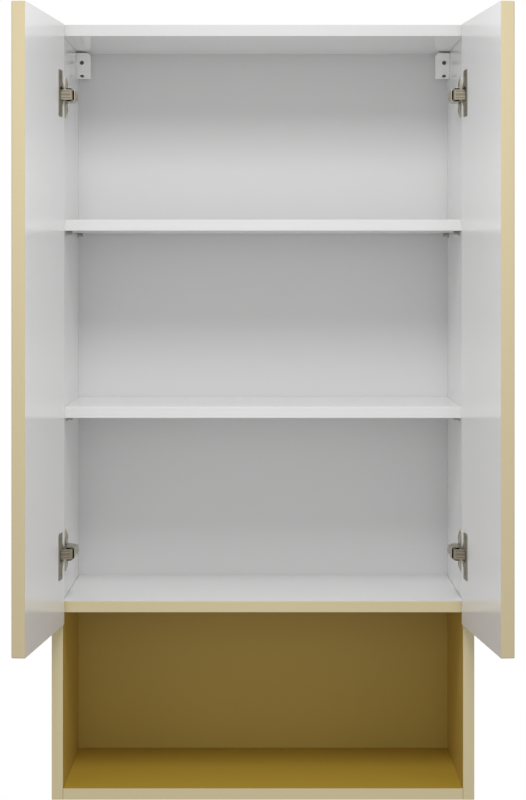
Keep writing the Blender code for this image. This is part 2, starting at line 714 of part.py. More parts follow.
def hinge_pin_mesh():
    """Return a pin with a rivet head outside each cheek of the arm."""
    seat = ARM_HEIGHT / 2 + FIT
    end = seat + LINK_PIN_HEAD
    return turned_mesh([(0.0, end), (LINK_PIN_HEAD_RADIUS, end), (LINK_PIN_HEAD_RADIUS, seat),
                        (LINK_PIN_RADIUS, seat), (LINK_PIN_RADIUS, -seat),
                        (LINK_PIN_HEAD_RADIUS, -seat), (LINK_PIN_HEAD_RADIUS, -end), (0.0, -end)])


def build_hinges(surface, collection, root, door_pivots):
    """Build the four concealed hinges. A right-hand hinge is a left-hand one upside down."""
    fixed = {"hinge_arm": (hinge_arm_mesh(), (0, 0, 0)),
             "hinge_plate": (hinge_plate_mesh(), (0, 0, 0)),
             "hinge_pin": (hinge_pin_mesh(), (*LINK_PIN, 0)),
             "hinge_link": (hinge_link_mesh(), (*LINK_PIN, 0))}
    cup = hinge_cup_mesh()
    for side, sign in SIDES.items():
        turn = (0.0, 0.0, 0.0) if side == "left" else (0.0, math.pi, 0.0)
        for level, offset in HINGE_LEVELS.items():
            z = DOOR_MIDDLE_Z + offset
            frame = make_empty(f"hinge_frame_{side}_{level}", collection,
                               (sign * CABINET_WIDTH / 2, FRONT_Y, z), turn)
            frame.parent = root
            for name, (mesh, place) in fixed.items():
                add_piece(f"{name}_{side}_{level}", mesh, surface, collection, place, frame)
            cup_z = offset if side == "left" else -offset
            add_piece(f"hinge_cup_{side}_{level}", cup, surface, collection,
                      in_door(CUP_CENTRE_X, -DOOR_GAP, cup_z), door_pivots[side])


def hanger_case_mesh():
    """Return a hanger case: X runs from the side inward, and Y and Z are 0 at the back and the top."""
    front = -(HANGER_DEPTH - FIT)
    knee = -(HANGER_HEIGHT - HANGER_SLANT_HEIGHT)
    outline = [(-FIT, 0.0), (front, 0.0), (front, knee),
               (front + HANGER_SLANT_DEPTH, -HANGER_HEIGHT), (-FIT, -HANGER_HEIGHT)]
    block = outline_mesh(outline, HANGER_WIDTH - FIT)
    turn = Matrix(((0, 0, 1, 0), (1, 0, 0, 0), (0, 1, 0, 0), (0, 0, 0, 1)))
    shift = Matrix.Translation(((HANGER_WIDTH + FIT) / 2, 0.0, 0.0))
    block.transform(shift @ turn)
    return build_shape("hanger_case", block, hanger_case_pegs(), hanger_case_cuts(front))


def hanger_case_pegs():
    """Return the pegs that hold the case in the side panel."""
    length = HANGER_PEG_LENGTH + HANGER_PEG_RADIUS
    mesh = rod_mesh(HANGER_PEG_RADIUS, length, "X")
    x = length / 2 - HANGER_PEG_LENGTH
    return [(mesh, (x, y - BACK_FACE_Y, z - HANGER_TOP_Z)) for y, z in hanger_pegs()]


def hanger_case_cuts(front):
    """Return the chamfer, the screw bores and the slot of the hook."""
    chamfer = box_mesh((4 * HANGER_CHAMFER, 3 * HANGER_DEPTH, math.sqrt(2) * HANGER_CHAMFER))
    chamfer.transform(Matrix.Rotation(math.pi / 4, 4, "Y"))
    chamfer_place = (HANGER_WIDTH, -HANGER_DEPTH / 2, 0.0)
    bore_length = HANGER_SCREW_SUNK + HANGER_DEPTH_SCREW_LENGTH + FIT
    bore = rod_mesh(HANGER_SCREW_RADIUS + FIT, 2 * bore_length, "Y", BORE_SIDES)
    bore_place = (HANGER_SCREW_FROM_SIDE, front, -HANGER_SCREW_BELOW)
    lift_length = HANGER_SCREW_SUNK + HANGER_LIFT_SCREW_LENGTH + FIT
    lift = turned_about(rod_mesh(HANGER_SCREW_RADIUS + FIT, 2 * lift_length, "Y", BORE_SIDES),
                        Matrix.Rotation(lift_angle(), 4, "X"))
    slot = box_mesh((HANGER_SLOT_WIDTH, 2 * HANGER_SLOT_DEPTH, HANGER_SLOT_HEIGHT))
    slot_place = (HANGER_WIDTH / 2, 0.0, hanger_slot_z() - HANGER_TOP_Z)
    return [(chamfer, chamfer_place), (bore, bore_place), (lift, lift_face(front)), (slot, slot_place)]


def lift_angle():
    """Return the tilt of the lift screw, square to the slanted face."""
    return math.atan2(HANGER_SLANT_DEPTH, HANGER_SLANT_HEIGHT)


def lift_face(front):
    """Return the middle of the slanted face."""
    return (HANGER_SCREW_FROM_SIDE, front + HANGER_SLANT_DEPTH / 2,
            HANGER_SLANT_HEIGHT / 2 - HANGER_HEIGHT)


def hanger_screw_mesh(length):
    """Return a headless screw along Y with a socket in its front end."""
    body = rod_mesh(HANGER_SCREW_RADIUS, length, "Y")
    socket = rod_mesh(HANGER_SOCKET_RADIUS, 2 * HANGER_SOCKET_DEPTH, "Y", SOCKET_SIDES)
    return build_shape("hanger_screw", body, (), [(socket, (0, -length / 2, 0))])


def hanger_hook_mesh():
    """Return the hook's outline: a shank through the back and a tooth that points down."""
    end = -BACK_FACE_Y - HOOK_FROM_WALL
    start = -(HANGER_SLOT_DEPTH - FIT)
    high = HOOK_HEIGHT / 2
    tooth = end - HOOK_TOOTH
    outline = [(start, high), (start, -high), (tooth, -high), (tooth, -high - HOOK_TOOTH_DROP),
               (end, -high - HOOK_TOOTH_DROP), (end, high)]
    mesh = outline_mesh(outline, HOOK_THICKNESS)
    mesh.transform(Matrix(((0, 0, 1, 0), (1, 0, 0, 0), (0, 1, 0, 0), (0, 0, 0, 1))))
    return mesh


def build_hangers(surfaces, collection, root):
    """Build the case, hook and two screws of each hanger."""
    case = hanger_case_mesh()
    cases = {"left": case, "right": mirrored(case)}
    hook = hanger_hook_mesh()
    depth_screw = hanger_screw_mesh(HANGER_DEPTH_SCREW_LENGTH)
    lift_screw = hanger_screw_mesh(HANGER_LIFT_SCREW_LENGTH)
    front = -(HANGER_DEPTH - FIT)
    depth_y = front + HANGER_SCREW_SUNK + HANGER_DEPTH_SCREW_LENGTH / 2
    lift_run = HANGER_SCREW_SUNK + HANGER_LIFT_SCREW_LENGTH / 2
    _, face_y, face_z = lift_face(front)
    lift_y = face_y + lift_run * math.cos(lift_angle())
    lift_z = face_z + lift_run * math.sin(lift_angle())
    for side, sign in SIDES.items():
        frame = make_empty(f"hanger_frame_{side}", collection,
                           (sign * SIDE_INNER, BACK_FACE_Y, HANGER_TOP_Z))
        frame.parent = root
        screw_x = -sign * HANGER_SCREW_FROM_SIDE
        add_piece(f"hanger_case_{side}", cases[side], surfaces["case"], collection, (0, 0, 0), frame)
        add_piece(f"hanger_hook_{side}", hook, surfaces["steel"], collection,
                  (-sign * HANGER_WIDTH / 2, 0, -HOOK_BELOW), frame)
        add_piece(f"hanger_depth_screw_{side}", depth_screw, surfaces["steel"], collection,
                  (screw_x, depth_y, -HANGER_SCREW_BELOW), frame)
        lift = add_piece(f"hanger_lift_screw_{side}", lift_screw, surfaces["steel"], collection,
                         (screw_x, lift_y, lift_z), frame)
        lift.rotation_euler = (lift_angle(), 0.0, 0.0)


def main():
    """Build the cabinet."""
    clear_scene()
    cabinet = make_collection("wall_cabinet")
    make_collection("cutters")
    white = make_material("white_board", (0.86, 0.86, 0.85), 0.35, 0.0)
    khaki = make_material("khaki_board", (0.59, 0.51, 0.33), 0.40, 0.0)
    nickel = make_material("nickel", (0.55, 0.52, 0.46), 0.32, 1.0)
    zinc = make_material("zinc_steel", (0.60, 0.60, 0.60), 0.35, 1.0)
    plastic = make_material("white_plastic", (0.80, 0.80, 0.79), 0.45, 0.0)
    beech = make_material("beech_dowel", (0.60, 0.42, 0.25), 0.70, 0.0)
    root = make_empty("cabinet_frame", cabinet, (0.0, 0.0, 0.0))
    build_side_panels(khaki, cabinet, root)
    build_fixed_boards({"top": white, "divider": khaki, "bottom": khaki}, cabinet, root)
    build_dowels(beech, cabinet, root)
    build_backs({"back_panel": white, "niche_back_panel": khaki}, cabinet, root)
    build_shelves(white, cabinet, root)
    build_shelf_pins(nickel, cabinet, root)
    pivots = door_frames(cabinet, root)
    build_doors(khaki, cabinet, pivots)
    build_hinges(nickel, cabinet, root, pivots)
    build_hangers({"case": plastic, "steel": zinc}, cabinet, root)


main()
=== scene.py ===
"""Looks of a wall cabinet: boards, hinges, hangers and finishes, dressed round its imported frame.

Metres, +Z up. The cabinet hangs with its back in the plane Y = 0 and faces -Y, and its doors
stand open at rest. Each piece is modelled in place and rides on the body of the solid it stands for.
"""

from __future__ import annotations

import json
import logging
import math
from abc import ABC, abstractmethod
from contextlib import contextmanager
from dataclasses import dataclass
from enum import Enum
from typing import Any, Callable, Iterator, Sequence

import bmesh
import bpy
from mathutils import Matrix, Vector

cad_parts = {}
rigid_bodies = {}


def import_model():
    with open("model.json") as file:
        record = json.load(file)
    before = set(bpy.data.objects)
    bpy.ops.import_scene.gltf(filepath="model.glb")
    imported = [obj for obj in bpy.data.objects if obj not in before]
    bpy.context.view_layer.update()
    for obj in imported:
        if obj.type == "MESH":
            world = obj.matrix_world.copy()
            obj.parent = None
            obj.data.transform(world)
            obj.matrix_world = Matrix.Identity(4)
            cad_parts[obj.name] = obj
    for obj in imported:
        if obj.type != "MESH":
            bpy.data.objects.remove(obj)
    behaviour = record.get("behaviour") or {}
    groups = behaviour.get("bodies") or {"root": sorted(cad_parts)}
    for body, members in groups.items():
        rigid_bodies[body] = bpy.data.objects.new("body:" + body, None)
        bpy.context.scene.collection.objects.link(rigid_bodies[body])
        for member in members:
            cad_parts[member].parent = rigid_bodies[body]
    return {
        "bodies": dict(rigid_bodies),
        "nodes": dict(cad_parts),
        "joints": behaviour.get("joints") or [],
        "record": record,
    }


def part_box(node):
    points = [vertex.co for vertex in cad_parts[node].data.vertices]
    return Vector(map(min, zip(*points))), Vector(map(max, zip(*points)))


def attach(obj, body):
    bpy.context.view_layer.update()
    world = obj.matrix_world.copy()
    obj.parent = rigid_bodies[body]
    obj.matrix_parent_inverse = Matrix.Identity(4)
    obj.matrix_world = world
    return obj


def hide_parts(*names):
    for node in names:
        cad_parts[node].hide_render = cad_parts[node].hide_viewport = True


log = logging.getLogger("wall_cabinet")

Piece = bpy.types.Object
Point = Sequence[float]
Test = Callable[[Any], bool]
Colour = tuple[int, int, int]

X, Y, Z = range(3)
HALF_TURN = Matrix.Rotation(math.pi, 4, "Y")
# Gap between pieces that fit together.
FIT = 0.0003
# How far a cutter reaches past what it cuts.
CLEAR = 0.002
# Distance under which two places are one.
NEAR = 0.00001
# Least part along an axis: of an edge that runs along it, of the normal of a face that looks along it,
# and of one that leans to it.
ALONG = 0.99
FACING = 0.9
LEANING = 0.6


class Side(Enum):
    """Hand of the cabinet, as the sign of its X."""

    LEFT = -1
    RIGHT = 1

    @property
    def word(self) -> str:
        """The side as node names spell it."""
        return self.name.lower()


class Level(Enum):
    """Upper or lower one of a pair."""

    UPPER = "upper"
    LOWER = "lower"


class Kind(Enum):
    """What an edit picks."""

    FACE = "faces"
    EDGE = "edges"
    VERT = "verts"


def linear(colour: Colour) -> tuple[float, float, float, float]:
    """Turn a colour of three bytes, as seen on a screen, into the renderer's numbers.

    Args:
        colour: Red, green and blue, from 0 to 255.

    Returns:
        Linear red, green and blue with a full alpha.
    """
    shares = [byte / 255 for byte in colour]
    steps = [s / 12.92 if s <= 0.04045 else ((s + 0.055) / 1.055) ** 2.4 for s in shares]
    return (*steps, 1.0)


def middle(item: Any) -> Vector:
    """Return the mean place of an edge's or a face's corners."""
    return sum((vert.co for vert in item.verts), Vector()) / len(item.verts)


def runs_along(edge: Any, axis: int) -> bool:
    """Tell whether an edge runs along an axis."""
    run = edge.verts[1].co - edge.verts[0].co
    return abs(run[axis]) > ALONG * run.length


def box_middle(node: str, axis: int) -> float:
    """Return where the middle of a node's box lies along an axis."""
    low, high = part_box(node)
    return (low[axis] + high[axis]) / 2


def add_object(name: str, data: Any) -> Piece:
    """Put a new object into the scene.

    Args:
        name: Name of the object.
        data: Its mesh, lamp or camera.

    Returns:
        The object.
    """
    made = bpy.data.objects.new(name, data)
    bpy.context.scene.collection.objects.link(made)
    return made


class Bench:
    """Blender's own modelling tools, used on one piece at a time."""

    @staticmethod
    def take(piece: Piece) -> None:
        """Select one piece alone and make it active.

        Args:
            piece: The piece.
        """
        bpy.ops.object.select_all(action="DESELECT")
        piece.select_set(True)
        bpy.context.view_layer.objects.active = piece

    @staticmethod
    def settle(name: str) -> Piece:
        """Name the newest piece and put its place into its mesh.

        Args:
            name: Name of the piece and of its mesh.

        Returns:
            The piece, at the origin.
        """
        bpy.ops.object.transform_apply(location=True, rotation=True, scale=True)
        piece = bpy.context.active_object
        piece.name = name
        piece.data.name = name
        return piece

    @classmethod
    def block(cls, name: str, low: Point, high: Point) -> Piece:
        """Add a block between two corners.

        Args:
            name: Name of the piece.
            low: Lowest corner.
            high: Highest corner.

        Returns:
            The block.
        """
        low, high = Vector(low), Vector(high)
        bpy.ops.object.select_all(action="DESELECT")
        bpy.ops.mesh.primitive_cube_add(size=1.0, location=(low + high) / 2, scale=high - low)
        return cls.settle(name)

    @classmethod
    def rod(cls, name: str, radius: float, start: Point, end: Point, sides: int = 32,
            end_radius: float | None = None) -> Piece:
        """Add a round rod, or a cone, between two points.

        Args:
            name: Name of the piece.
            radius: Radius at the start.
            start: Middle of the first end.
            end: Middle of the other end.
            sides: Facets round the rod.
            end_radius: Radius at the other end, if it differs.

        Returns:
            The rod.
        """
        start, end = Vector(start), Vector(end)
        run = end - start
        bpy.ops.object.select_all(action="DESELECT")
        bpy.ops.mesh.primitive_cone_add(
            vertices=sides, radius1=radius, radius2=radius if end_radius is None else end_radius,
            depth=run.length, location=(start + end) / 2, rotation=run.to_track_quat("Z", "Y").to_euler())
        return cls.settle(name)

    @classmethod
    @contextmanager
    def editing(cls, piece: Piece, kind: Kind) -> Iterator[None]:
        """Open a piece for edits, with nothing picked.

        Args:
            piece: The piece to edit.
            kind: What the edits pick.
        """
        cls.take(piece)
        bpy.ops.object.mode_set(mode="EDIT")
        bpy.ops.mesh.select_mode(type=kind.name)
        bpy.ops.mesh.select_all(action="DESELECT")
        yield
        bpy.ops.object.mode_set(mode="OBJECT")

    @staticmethod
    def pick(piece: Piece, kind: Kind, test: Test) -> None:
        """Pick what passes a test, and nothing else, on the piece in edit mode.

        Args:
            piece: The piece being edited.
            kind: What to pick.
            test: Says whether one face, edge or vertex is picked.
        """
        bpy.ops.mesh.select_all(action="DESELECT")
        work = bmesh.from_edit_mesh(piece.data)
        for item in getattr(work, kind.value):
            if test(item):
                item.select_set(True)
        work.select_flush_mode()
        bmesh.update_edit_mesh(piece.data)

    @classmethod
    def round_edges(cls, piece: Piece, test: Test, radius: float, steps: int = 3) -> None:
        """Round the edges that pass a test.

        Args:
            piece: The piece to round.
            test: Says whether one edge is rounded.
            radius: Radius of the rounding.
            steps: Facets across it.
        """
        with cls.editing(piece, Kind.EDGE):
            cls.pick(piece, Kind.EDGE, test)
            bpy.ops.mesh.bevel(offset=radius, segments=steps, profile=0.5, affect="EDGES")

    @classmethod
    def slice_off(cls, piece: Piece, point: Point, normal: Point) -> None:
        """Cut away what lies on the normal's side of a plane, and close the cut.

        Args:
            piece: The piece to cut.
            point: A point of the plane.
            normal: The plane's normal.
        """
        with cls.editing(piece, Kind.FACE):
            bpy.ops.mesh.select_all(action="SELECT")
            bpy.ops.mesh.bisect(plane_co=point, plane_no=normal, use_fill=True, clear_outer=True)

    @classmethod
    def score(cls, piece: Piece, axis: int, *places: float) -> None:
        """Divide a piece's faces across an axis, taking nothing away.

        Args:
            piece: The piece to score.
            axis: The axis.
            *places: Where along it.
        """
        normal = Matrix.Identity(3)[axis]
        for place in places:
            with cls.editing(piece, Kind.FACE):
                bpy.ops.mesh.select_all(action="SELECT")
                bpy.ops.mesh.bisect(plane_co=normal * place, plane_no=normal)

    @classmethod
    def apply(cls, piece: Piece, step: bpy.types.Modifier) -> None:
        """Apply one modifier to a piece."""
        cls.take(piece)
        bpy.ops.object.modifier_apply(modifier=step.name)

    @staticmethod
    def drop(*pieces: Piece) -> None:
        """Remove pieces that have served."""
        for piece in pieces:
            bpy.data.objects.remove(piece, do_unlink=True)

    @classmethod
    def combine(cls, piece: Piece, tool: Piece, operation: str) -> None:
        """Join a tool to a piece, or cut the piece with it, and remove the tool.

        Args:
            piece: The piece to work on.
            tool: The shape that is joined or cut out.
            operation: UNION or DIFFERENCE.
        """
        step = piece.modifiers.new("combine", "BOOLEAN")
        step.object = tool
        step.operation = operation
        step.solver = "EXACT"
        cls.apply(piece, step)
        cls.drop(tool)

    @classmethod
    def join(cls, piece: Piece, *tools: Piece) -> None:
        """Join shapes to a piece."""
        for tool in tools:
            cls.combine(piece, tool, "UNION")

    @classmethod
    def cut(cls, piece: Piece, *tools: Piece) -> None:
        """Cut shapes out of a piece."""
        for tool in tools:
            cls.combine(piece, tool, "DIFFERENCE")

    @classmethod
    def cross(cls, screw: Piece, reach: float, width: float, depth: float) -> None:
        """Cut a cross recess into a screw that stands at the origin, facing +Z.

        Args:
            screw: The screw.
            reach: Half the length of each slot.
            width: Width of each slot.
            depth: Depth of the slots below the origin.
        """
        for turn in (0.0, math.pi / 2):
            slot = cls.block("slot", (-reach, -width / 2, -depth), (reach, width / 2, CLEAR))
            slot.data.transform(Matrix.Rotation(turn, 4, "Z"))
            cls.cut(screw, slot)

    @classmethod
    def clean(cls, piece: Piece) -> None:
        """Merge the slivers that cuts leave in a piece.

        Args:
            piece: The piece to clean.
        """
        with cls.editing(piece, Kind.VERT):
            bpy.ops.mesh.select_all(action="SELECT")
            bpy.ops.mesh.remove_doubles(threshold=NEAR)
            bpy.ops.mesh.select_all(action="SELECT")
            bpy.ops.mesh.dissolve_degenerate(threshold=NEAR)

    @classmethod
    def soften(cls, piece: Piece, width: float, steps: int = 2, angle: float = 40.0) -> None:
        """Take the sharpness off every corner of a piece.

        Args:
            piece: The piece to soften.
            width: Width of the rounding.
            steps: Facets across it.
            angle: Least angle between faces, in degrees, that counts as a corner.
        """
        cls.clean(piece)
        step = piece.modifiers.new("soften", "BEVEL")
        step.width = width
        step.segments = steps
        step.limit_method = "ANGLE"
        step.angle_limit = math.radians(angle)
        step.miter_outer = "MITER_ARC"
        cls.apply(piece, step)

    @classmethod
    def smooth(cls, piece: Piece, angle: float = 38.0) -> None:
        """Shade the rounded stretches smooth and keep the flat faces flat.

        Args:
            piece: The piece to shade.
            angle: Greatest angle between faces, in degrees, that is shaded smooth.
        """
        cls.take(piece)
        bpy.ops.object.shade_smooth_by_angle(angle=math.radians(angle))
        step = piece.modifiers.new("even", "WEIGHTED_NORMAL")
        step.keep_sharp = True
        cls.apply(piece, step)

    @staticmethod
    def copy(piece: Piece, name: str, place: Matrix) -> Piece:
        """Copy a piece with a mesh of its own, moved by a matrix.

        Args:
            piece: The pattern.
            name: Name of the copy.
            place: Where the copy goes.

        Returns:
            The copy.
        """
        mesh = piece.data.copy()
        mesh.name = name
        mesh.transform(place)
        return add_object(name, mesh)


class Graph:
    """One node tree, with a short way to add and link nodes."""

    def __init__(self, tree: bpy.types.NodeTree) -> None:
        """Keep the tree."""
        self.tree = tree

    @classmethod
    def fresh(cls, owner: bpy.types.Material | bpy.types.World) -> Graph:
        """Empty the nodes of a material or of the world.

        Args:
            owner: The material or the world.

        Returns:
            Its graph.
        """
        owner.use_nodes = True
        owner.node_tree.nodes.clear()
        return cls(owner.node_tree)

    def add(self, kind: str, values: dict[Any, Any] | None = None, **settings: Any) -> bpy.types.Node:
        """Add a node.

        Args:
            kind: The node's type, without its leading ShaderNode.
            values: A number, colour or output socket for each named or numbered input.
            **settings: The node's own settings.

        Returns:
            The node.
        """
        node = self.tree.nodes.new(f"ShaderNode{kind}")
        for name, value in settings.items():
            setattr(node, name, value)
        for name, value in (values or {}).items():
            if isinstance(value, bpy.types.NodeSocket):
                self.tree.links.new(value, node.inputs[name])
            else:
                node.inputs[name].default_value = value
        return node

    def math(self, operation: str, first: Any, second: Any = 0.0, third: Any = 0.0) -> bpy.types.NodeSocket:
        """Add a step of arithmetic on up to three numbers or sockets.

        Args:
            operation: The Math node's operation.
            first: First number.
            second: Second number.
            third: Third number.

        Returns:
            The result's socket.
        """
        return self.add("Math", {0: first, 1: second, 2: third}, operation=operation).outputs[0]

    def tint(self, colour: Any, tone: Any) -> bpy.types.NodeSocket:
        """Return a colour made brighter or darker by a tone."""
        return self.add("HueSaturation", {"Color": colour, "Value": tone}).outputs[0]

    def mix(self, share: Any, first: Any, second: Any) -> bpy.types.NodeSocket:
        """Return a blend of two colours, by the share of the second."""
        return self.add("Mix", {0: share, 6: first, 7: second}, data_type="RGBA").outputs[2]

    def noise(self, size: Any, detail: float = 2.0, stretch: Point = (1.0, 1.0, 1.0)) -> bpy.types.NodeSocket:
        """Add noise on the piece's own coordinates.

        Args:
            size: Size of one patch, in metres, or its socket.
            detail: Finer layers in it.
            stretch: How much finer it is along each axis.

        Returns:
            The noise, from 0 to 1.
        """
        place = self.add("TexCoord").outputs["Object"]
        spread = self.add("Mapping", {"Vector": place, "Scale": tuple(stretch)})
        fineness = self.math("DIVIDE", 1.0, size)
        values = {"Vector": spread.outputs[0], "Scale": fineness, "Detail": detail}
        return self.add("TexNoise", values).outputs[0]

    def swing(self, noise: Any, amount: Any, base: Any) -> bpy.types.NodeSocket:
        """Turn noise into a value that swings about a base.

        Args:
            noise: Noise from 0 to 1.
            amount: Full width of the swing.
            base: Value in the middle.

        Returns:
            The value's socket.
        """
        return self.math("MULTIPLY_ADD", self.math("SUBTRACT", noise, 0.5), amount, base)

    def shade(self, height: Any = None, depth: float = 0.0, **values: Any) -> None:
        """Add the surface shader and the material's output.

        Args:
            height: Height of the surface's relief, from 0 to 1.
            depth: Depth of that relief, in metres.
            **values: Inputs of the Principled shader, with _ for each space.
        """
        inputs = {name.replace("_", " "): value for name, value in values.items()}
        if height is not None:
            bump = self.add("Bump", {"Height": height, "Distance": depth, "Strength": 1.0})
            inputs["Normal"] = bump.outputs[0]
        shader = self.add("BsdfPrincipled", inputs)
        self.add("OutputMaterial", {"Surface": shader.outputs[0]})


class Effects:
    """Shader node groups that several finishes share, each built once."""

    @staticmethod
    def group(name: str, inputs: dict[str, float | Colour], outputs: Sequence[str],
              fill: Callable[[Graph, Any], dict[str, Any]]) -> bpy.types.NodeTree:
        """Return a node group, building it the first time.

        Args:
            name: Name of the group.
            inputs: Each input's name and default, a number or a colour.
            outputs: Each output's name; one called Colour is a colour.
            fill: Adds the nodes and gives the socket for each output.

        Returns:
            The group's tree.
        """
        made = bpy.data.node_groups.get(name)
        if made is not None:
            return made
        made = bpy.data.node_groups.new(name, "ShaderNodeTree")
        for title, default in inputs.items():
            kind = "NodeSocketColor" if isinstance(default, tuple) else "NodeSocketFloat"
            socket = made.interface.new_socket(name=title, in_out="INPUT", socket_type=kind)
            socket.default_value = linear(default) if isinstance(default, tuple) else default
        for title in outputs:
            kind = "NodeSocketColor" if title == "Colour" else "NodeSocketFloat"
            made.interface.new_socket(name=title, in_out="OUTPUT", socket_type=kind)
        graph = Graph(made)
        start = made.nodes.new("NodeGroupInput")
        end = made.nodes.new("NodeGroupOutput")
        for title, socket in fill(graph, start.outputs).items():
            made.links.new(socket, end.inputs[title])
        return made

    @classmethod
    def skin(cls) -> bpy.types.NodeTree:
        """Return the skin of a coated board: a fine pebble, and slow clouds of tone and gloss.

        Returns:
            The group's tree.
        """

        def fill(graph: Graph, given: Any) -> dict[str, Any]:
            """Add the skin's nodes.

            Args:
                graph: The group's graph.
                given: Its input sockets.

            Returns:
                The socket for each output.
            """
            clouds = graph.noise(given["Cloud Size"], detail=3.0)
            pebble = graph.noise(given["Pebble Size"], detail=1.0)
            tone = graph.swing(clouds, given["Cloud Tone"], 1.0)
            gloss = graph.swing(clouds, given["Cloud Gloss"], given["Roughness"])
            return {"Colour": graph.tint(given["Colour"], tone),
                    "Roughness": graph.swing(pebble, given["Pebble Gloss"], gloss), "Height": pebble}

        inputs = {"Colour": (200, 200, 200), "Roughness": 0.4, "Pebble Size": 0.0008, "Pebble Gloss": 0.04,
                  "Cloud Size": 0.12, "Cloud Tone": 0.02, "Cloud Gloss": 0.015}
        return cls.group("board_skin", inputs, ("Colour", "Roughness", "Height"), fill)

    @classmethod
    def brushed(cls) -> bpy.types.NodeTree:
        """Return a drawn metal skin: fine lines along the height, and faint stains.

        Returns:
            The group's tree.
        """

        def fill(graph: Graph, given: Any) -> dict[str, Any]:
            """Add the metal's nodes.

            Args:
                graph: The group's graph.
                given: Its input sockets.

            Returns:
                The socket for each output.
            """
            lines = graph.noise(given["Line Width"], detail=4.0, stretch=(1.0, 1.0, 0.04))
            stains = graph.noise(given["Stain Size"], detail=3.0)
            tone = graph.swing(stains, given["Stain Tone"], graph.swing(lines, given["Line Tone"], 1.0))
            gloss = graph.swing(stains, given["Stain Gloss"], given["Roughness"])
            gloss = graph.swing(lines, given["Line Gloss"], gloss)
            return {"Colour": graph.tint(given["Colour"], tone), "Roughness": gloss, "Height": lines}

        inputs = {"Colour": (170, 165, 150), "Roughness": 0.32, "Line Width": 0.0006, "Line Tone": 0.16,
                  "Line Gloss": 0.18, "Stain Size": 0.012, "Stain Tone": 0.14, "Stain Gloss": 0.12}
        return cls.group("drawn_metal", inputs, ("Colour", "Roughness", "Height"), fill)

    @classmethod
    def rubbed_edges(cls) -> bpy.types.NodeTree:
        """Return a mask of the corners, where handling rubs a finish bright.

        Returns:
            The group's tree.
        """

        def fill(graph: Graph, given: Any) -> dict[str, Any]:
            """Add the mask's nodes.

            Args:
                graph: The group's graph.
                given: Its input sockets.

            Returns:
                The socket for each output.
            """
            rounded = graph.add("Bevel", {"Radius": given["Width"]}, samples=4)
            plain = graph.add("NewGeometry").outputs["Normal"]
            same = graph.add("VectorMath", {0: rounded.outputs[0], 1: plain}, operation="DOT_PRODUCT")
            turned = graph.math("SUBTRACT", 1.0, same.outputs["Value"])
            broken = graph.noise(given["Patch Size"], detail=3.0)
            mask = graph.math("MULTIPLY", graph.math("MULTIPLY", turned, given["Strength"]), broken)
            return {"Mask": graph.math("MINIMUM", mask, 1.0)}

        inputs = {"Width": 0.0006, "Patch Size": 0.003, "Strength": 4.0}
        return cls.group("rubbed_edges", inputs, ("Mask",), fill)


# How much the roughness of a raw surface swings.
RAW_GLOSS = 0.2


@dataclass(frozen=True)
class Finish(ABC):
    """The finish of a surface, and the record's slot that it belongs to."""

    name: str
    slot: str

    def material(self) -> bpy.types.Material:
        """Return the finish's material, building it the first time.

        Returns:
            The material.
        """
        made = bpy.data.materials.get(self.name)
        if made is None:
            made = bpy.data.materials.new(self.name)
            self.paint(Graph.fresh(made))
        return made

    @abstractmethod
    def paint(self, graph: Graph) -> None:
        """Add the finish's nodes to an empty material."""


@dataclass(frozen=True)
class Coating(Finish):
    """A coated board or a moulded plastic: satin, with a fine pebble."""

    colour: Colour
    roughness: float
    shine: float = 0.5
    pebble_size: float = 0.0008
    pebble_depth: float = 0.00002
    cloud_tone: float = 0.012

    def paint(self, graph: Graph) -> None:
        """Add the coating's nodes.

        Args:
            graph: The material's graph.
        """
        values = {"Colour": linear(self.colour), "Roughness": self.roughness,
                  "Pebble Size": self.pebble_size, "Cloud Tone": self.cloud_tone}
        skin = graph.add("Group", values, node_tree=Effects.skin())
        graph.shade(skin.outputs["Height"], self.pebble_depth, Base_Color=skin.outputs["Colour"],
                    Roughness=skin.outputs["Roughness"], Specular_IOR_Level=self.shine)


@dataclass(frozen=True)
class Plating(Finish):
    """Plated pressed steel, rubbed bright at its corners."""

    colour: Colour
    edge_colour: Colour
    roughness: float
    line_width: float = 0.0006
    line_depth: float = 0.00001

    def paint(self, graph: Graph) -> None:
        """Add the plating's nodes.

        Args:
            graph: The material's graph.
        """
        values = {"Colour": linear(self.colour), "Roughness": self.roughness, "Line Width": self.line_width}
        skin = graph.add("Group", values, node_tree=Effects.brushed())
        edges = graph.add("Group", node_tree=Effects.rubbed_edges())
        rubbed = graph.mix(edges.outputs["Mask"], skin.outputs["Colour"], linear(self.edge_colour))
        graph.shade(skin.outputs["Height"], self.line_depth, Base_Color=rubbed,
                    Roughness=skin.outputs["Roughness"], Metallic=1.0)


@dataclass(frozen=True)
class Chips(Finish):
    """The raw edge of a chipboard: pressed chips of several tones."""

    pale: Colour
    dark: Colour
    chip: float = 0.004
    dust: float = 0.0012
    dust_share: float = 0.5
    roughness: float = 0.85
    relief: float = 0.0003

    def paint(self, graph: Graph) -> None:
        """Add the chipboard's nodes.

        Args:
            graph: The material's graph.
        """
        place = graph.add("TexCoord").outputs["Object"]
        spread = graph.add("Mapping", {"Vector": place, "Scale": (1.0, 1.6, 1.0)})
        cells = graph.add("TexVoronoi", {"Vector": spread.outputs[0], "Scale": 1.0 / self.chip})
        tone = graph.add("SeparateColor", {0: cells.outputs["Color"]}).outputs[0]
        dust = graph.noise(self.dust, detail=3.0)
        chips = graph.math("MULTIPLY", tone, 1.0 - self.dust_share)
        share = graph.math("MULTIPLY_ADD", dust, self.dust_share, chips)
        mixed = graph.mix(share, linear(self.dark), linear(self.pale))
        rough = graph.swing(dust, RAW_GLOSS, self.roughness)
        graph.shade(share, self.relief, Base_Color=mixed, Roughness=rough)


